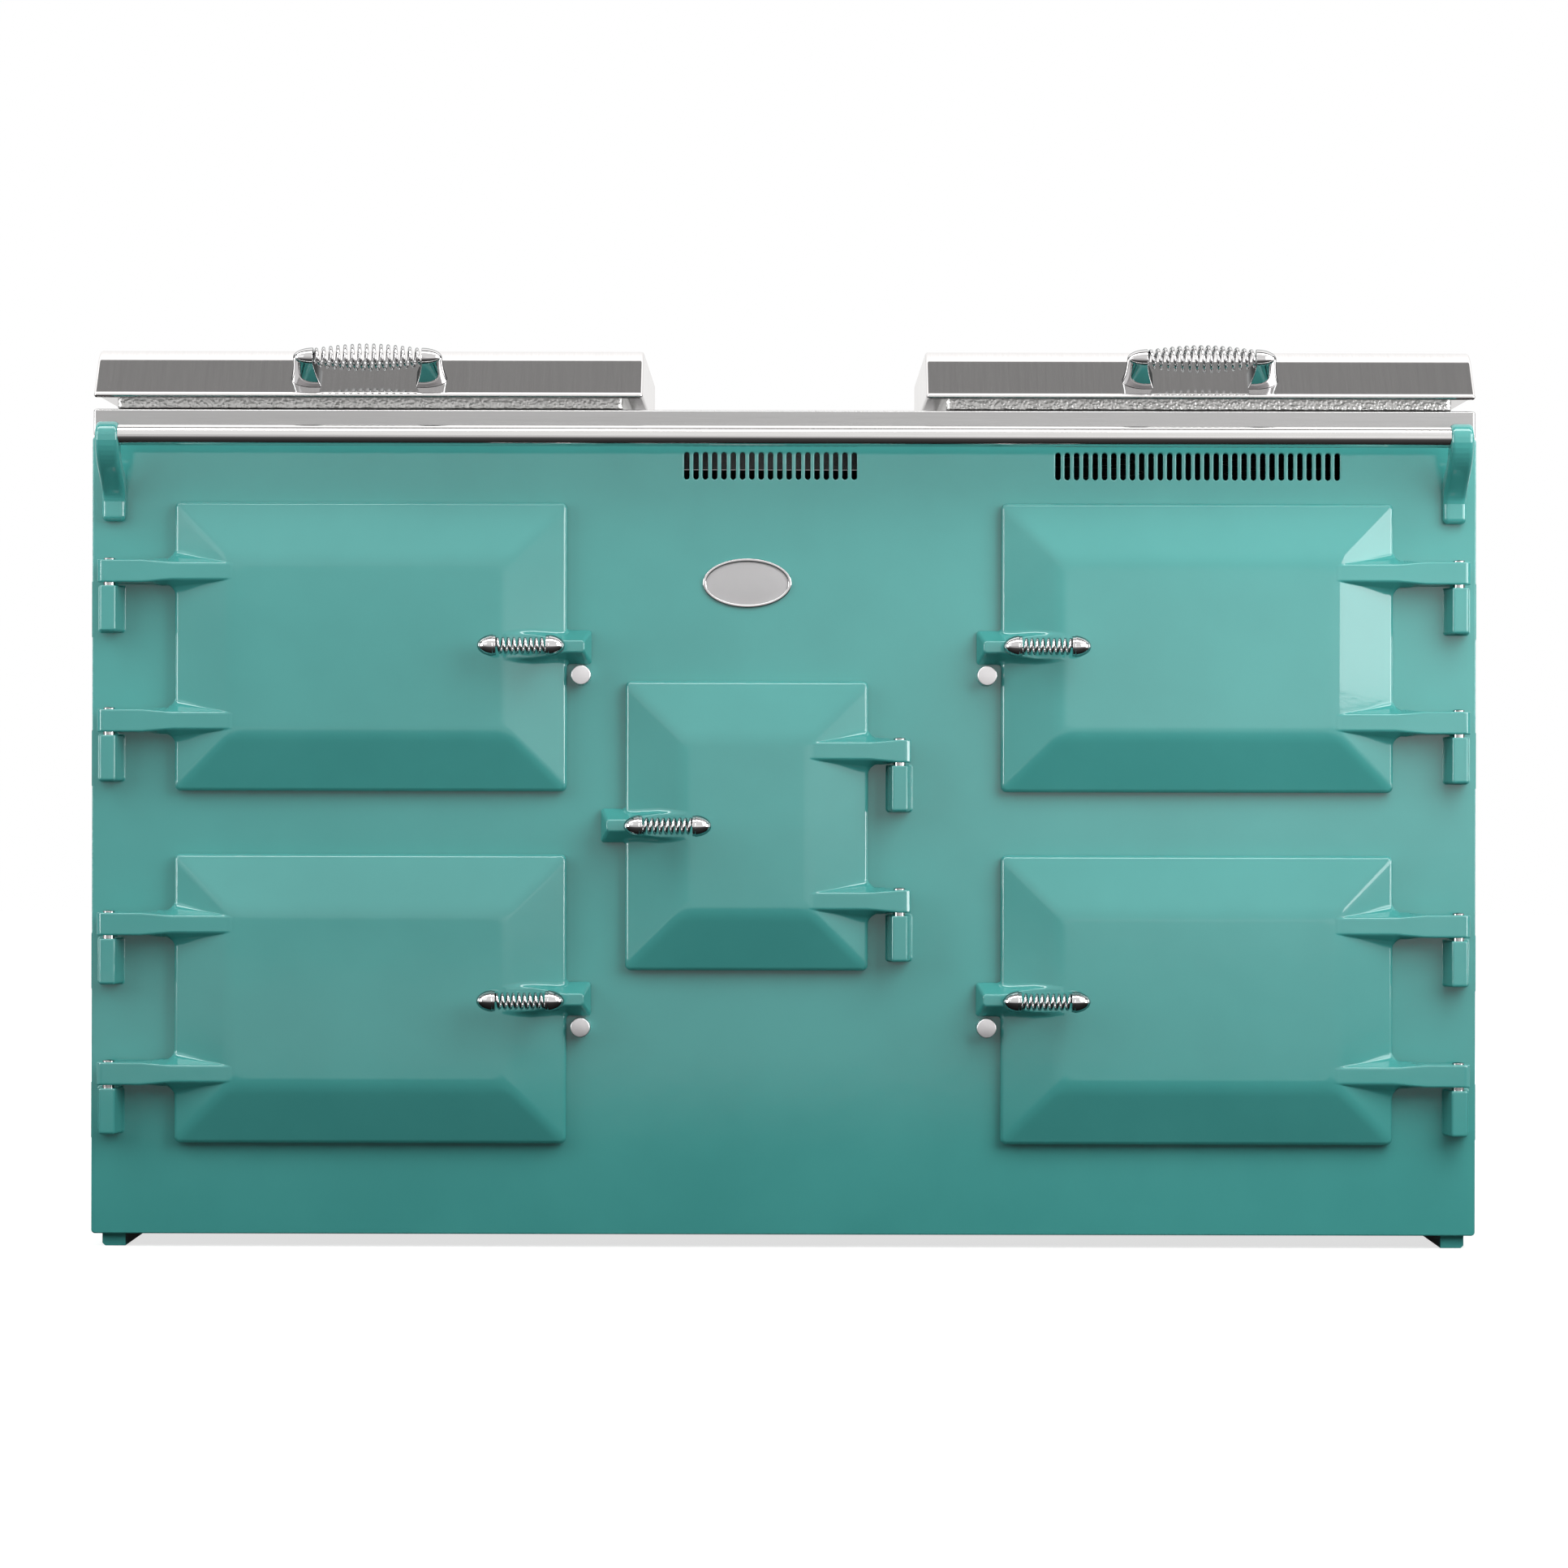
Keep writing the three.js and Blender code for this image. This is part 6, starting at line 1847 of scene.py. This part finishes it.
@dataclass
class Casing:
    """The sides, back and base, which keep their CAD shapes, and the screws of the back sheet."""

    def build(self) -> None:
        """Gives the casing its finishes and the back its screws."""
        paint(ENAMEL, "side_panel_left", "side_panel_right", "base_frame")
        paint(DARK_SHEET, "back_panel")
        brackets = [n for n in frame["nodes"] if n.startswith("lid_bracket")]
        paint(STEEL_FLAT, *brackets)
        low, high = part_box("back_panel")
        place = Matrix.Translation((0.0, high.y, 0.0)) @ Matrix.Rotation(-math.pi / 2, 4, "X")
        inset, gap, head = 0.02, 0.12, 0.0042
        x0, x1, z0, z1 = low.x + inset, high.x - inset, low.z, high.z
        rows = (
            ("top", (x0, z1 - inset), (x1, z1 - inset), 9),
            ("bottom", (x0, z0 + inset), (x1, z0 + inset), 9),
            ("left", (x0, z0 + gap), (x0, z1 - gap), 4),
            ("right", (x1, z0 + gap), (x1, z1 - gap), 4),
        )
        for name, a, b, count in rows:
            ends = {"Start": (a[0], -a[1], 0.0), "End": (b[0], -b[1], 0.0)}
            sizes = {"Count": count, **ends, "Radius": head}
            screws = PATTERNS["screws"].made(f"back_screws_{name}", sizes, place)
            dress(screws, "cooker", "brushed_steel")


# ---------------------------------------------------------------- studio


@dataclass
class Studio:
    """The camera, the white floor and background, the lamps, and what metal mirrors."""

    roll: float = 0.115
    lens: float = 117.6
    distance: float = 5.541
    height: float = 0.5015

    def build(self) -> None:
        """Sets up everything that isn't the cooker."""
        self.camera()
        self.world()
        self.floor()
        self.lamps()
        self.tent()
        bpy.context.scene.view_settings.view_transform = "Standard"

    def camera(self) -> None:
        """A long lens square to the front, with the photograph's slight roll."""
        data = bpy.data.cameras.new("camera")
        data.lens = self.lens
        data.sensor_width = 36.0
        data.clip_end = 60.0
        made = linked("camera", data)
        turn = UPRIGHT @ Matrix.Rotation(math.radians(self.roll), 4, "Z")
        made.matrix_world = Matrix.Translation((0.0002, FACE_Y - self.distance, self.height)) @ turn
        bpy.context.scene.camera = made

    def world(self) -> None:
        """White to the camera and to mirrors, and a plain level of light on the object."""
        world = bpy.data.worlds.new("studio")
        bpy.context.scene.world = world
        world.use_nodes = True
        n = Nodes(world.node_tree)
        n.tree.nodes.clear()
        strength = n.rays("Camera", "Glossy", "Transmission") * 0.95 + 0.05
        shade = n.node("ShaderNodeBackground", inputs={"Color": WHITE, "Strength": strength})
        out = n.tree.nodes.new("ShaderNodeOutputWorld")
        n.tree.links.new(shade.socket, out.inputs["Surface"])

    @staticmethod
    def sheet(s: Shader, name: str, corners: Sequence[Any], faces: Sequence[Any] = ((0, 1, 2, 3),)) -> Any:
        """A plain mesh of the studio, in a shader."""
        mesh = bpy.data.meshes.new(name)
        mesh.from_pydata(corners, [], faces)
        mesh.materials.append(s.material)
        return linked(name, mesh)

    def floor(self) -> None:
        """A floor that looks white, takes the cooker's shadow, and is mirrored darker near the cooker."""
        r = 14.0
        corners = [(x * r, y * r, -0.0005) for x, y in ((-1, -1), (1, -1), (1, 1), (-1, 1))]
        s = Shader("floor_white")
        far = (s.axis(0).size() - 0.75).most(s.axis(1).size() - 0.3)
        pale, dark = (
            s.node("ShaderNodeBsdfDiffuse", inputs={"Color": (v, v, v, 1)}) for v in (0.5, 0.16)
        )
        light = s.glow(WHITE, far.between(0.4, 2.2) * 0.3 + 0.72)
        white = s.node("ShaderNodeAddShader", inputs={0: pale, 1: light})
        seen = s.rays("Camera", "Transmission")
        real = s.node("ShaderNodeMixShader", inputs={0: seen, 1: dark, 2: white})
        near = ((0.0, 0.01), (0.6, 0.05), (1.5, 0.11), (2.4, 0.36), (3.6, 0.85), (8.0, 0.9))
        stops = [(d / 8.0, (v, v * 0.97, v * 0.97)) for d, v in near]
        card = s.node("ShaderNodeValToRGB", {"stops": stops}, {0: far / 8.0})
        mirrored = s.glow(card, 1.0)
        s.end(s.node("ShaderNodeMixShader", inputs={0: s.rays("Glossy"), 1: real, 2: mirrored}))
        self.sheet(s, "floor", corners)

    @staticmethod
    def lamp(name: str, power: float, size: Span, at: Point, to: Point) -> None:
        """An area lamp that mirrors don't see."""
        data = bpy.data.lights.new(name, "AREA")
        data.shape = "RECTANGLE"
        data.size, data.size_y = size
        data.energy = power
        made = linked(name, data)
        made.location = at
        made.rotation_euler = (Vector(to) - Vector(at)).to_track_quat("-Z", "Y").to_euler()
        made.visible_glossy = False

    def lamps(self) -> None:
        """A wide lamp over the front, one near it on each side, and lamps for the sides and the back."""
        self.lamp("over", 30.0, (3.4, 3.0), (0.1, -2.6, 2.4), (0.0, -0.1, 0.7))
        self.lamp("near_right", 36.0, (1.5, 2.0), (1.33, -1.53, 1.52), (0.0, -0.1, 0.55))
        self.lamp("near_left", 15.5, (1.2, 1.8), (-1.58, -1.08, 1.31), (0.0, -0.1, 0.55))
        self.lamp("left", 34.0, (1.6, 1.6), (-3.4, 0.6, 1.4), (-0.75, 0.1, 0.45))
        self.lamp("right", 38.0, (1.6, 1.6), (3.4, 0.6, 1.4), (0.75, 0.1, 0.45))
        self.lamp("back", 60.0, (3.0, 1.6), (0.0, 3.4, 1.9), (0.0, 0.3, 0.5))

    def tent(self) -> None:
        """What glossy surfaces mirror: bands of light and dark round the cooker, and four bright panels."""
        turn = np.radians(np.arange(-180, 180, 6.0))
        r, n = 9.0, len(turn)
        points = [(x, -r * math.cos(a), r * math.sin(a)) for x in (-12.0, 12.0) for a in turn]
        faces = [*band(0, n), tuple(range(n)), tuple(range(n, 2 * n))]
        s = Shader("tent_bands")
        y, z = s.axis(1), s.axis(2)
        around = z.math("ARCTAN2", z, 0.0 - y) / (2 * math.pi) + 0.5

        def at(degrees: float) -> float:
            """A ramp's place for an angle up from the front."""
            return degrees / 360.0 + 0.5

        bands = (
            (-180, 0.8), (0, 0.75), (3, 1.1), (56, 1.2), (60, 8.0), (70, 8.0), (74, 0.34), (93, 0.34),
            (95, 2.0), (150, 1.2), (180, 0.8),
        )
        stops = [(at(degrees), (v * 0.1, v * 0.099, v * 0.098)) for degrees, v in bands]
        ramp = s.node("ShaderNodeValToRGB", {"stops": stops}, {0: around})
        low = 1.0 - around.between(at(6.0), at(9.0))
        level = 10.0 + low * (s.axis(0).between(-2.0, 2.0) * 8.0 - 3.4)
        end = s.axis(0).size().between(11.9, 11.99)
        s.end(s.glow(s.mix(end, ramp, (0.03, 0.03, 0.03)), level))
        self.only_mirrored(self.sheet(s, "tent", points, faces))
        self.softbox("softbox_right", 5.2, (2.10, -1.70), (0.62, 1.9), 0.62)
        self.softbox("softbox_left", 1.7, (-2.10, -1.70), (0.86, 1.9), 0.62)
        self.softbox("strip_right", 10.0, (8.5, -3.0), (0.0, 4.0), 1.5)
        self.softbox("strip_left", 9.0, (-8.5, -3.0), (0.0, 4.0), 1.5)

    def softbox(self, name: str, strength: float, at: Span, up: Span, half: float) -> None:
        """A bright panel that turns towards the cooker's end."""
        way = Vector((at[0] - math.copysign(0.67, at[0]), at[1] - FACE_Y, 0.0)).normalized()
        across = Vector((-way.y, way.x, 0.0)) * half
        mid = Vector((at[0], at[1], 0.0))
        low, high = (Vector((0, 0, z)) for z in up)
        corners = [mid - across + low, mid + across + low, mid + across + high, mid - across + high]
        s = Shader(name)
        s.end(s.glow(WHITE, strength))
        self.only_mirrored(self.sheet(s, name, [tuple(c) for c in corners]))

    @staticmethod
    def only_mirrored(obj: bpy.types.Object) -> None:
        """Hides a stage object from everything but glossy rays."""
        for kind in ("camera", "diffuse", "transmission", "shadow", "volume_scatter"):
            setattr(obj, f"visible_{kind}", False)


PATTERNS: dict[str, Pattern] = {}


def main() -> None:
    """Builds the studio and the cooker, sub-assembly by sub-assembly."""
    logging.basicConfig(level=logging.INFO, format="%(message)s", force=True)
    Studio().build()
    PATTERNS.update(
        wire=wound_wire(), rack=wire_rack(), rope=rope_seal(), marks=dial_marks(), screws=screw_row()
    )
    ovens = [
        Door(name, Side.LEFT if name in LEFT_OVENS else Side.RIGHT, 423.0, 312.0, 69.5) for name in OVENS
    ]
    middle = Door("control", Side.RIGHT, 262.0, 312.6, 33.7)
    doors = [*ovens, middle]
    FrontPanel().build(doors)
    oven_skin = ovens[0].skin()
    handle = Handle(
        20.0, 11.75, 36.7, 3.0, 53.5, 9, 1.5, 9.2, 9.2, -1.0, two_legs=False, collar=3.0, neck=0.25
    )
    ends = handle.ends()
    for door in doors:
        door.build(middle.skin() if door is middle else oven_skin)
        sign, name = door.side.value, f"handle_{door.place}"
        along = door.edge - handle.cap_length - handle.coil / 2
        origin = door.origin + np.array([sign * along * MM, -(door.lug_front + SEAT) * MM, 0.0])
        handle.build(name, name, door.body, ends, front_axes(-sign), origin)
    Badge().build()
    Studs().build()
    HandRail().build()
    Hob().build()
    lid_handle = Handle(22.0, 10.3, 32.6, 7.3, 117.0, 15, 1.8, 9.8, 15.0, 1.0, two_legs=True)
    lid_ends = lid_handle.ends()
    for side in Side:
        Lid(side).build(lid_handle, lid_ends)
    Ovens().build()
    Controls().build()
    Casing().build()


if __name__ == "__main__":
    main()
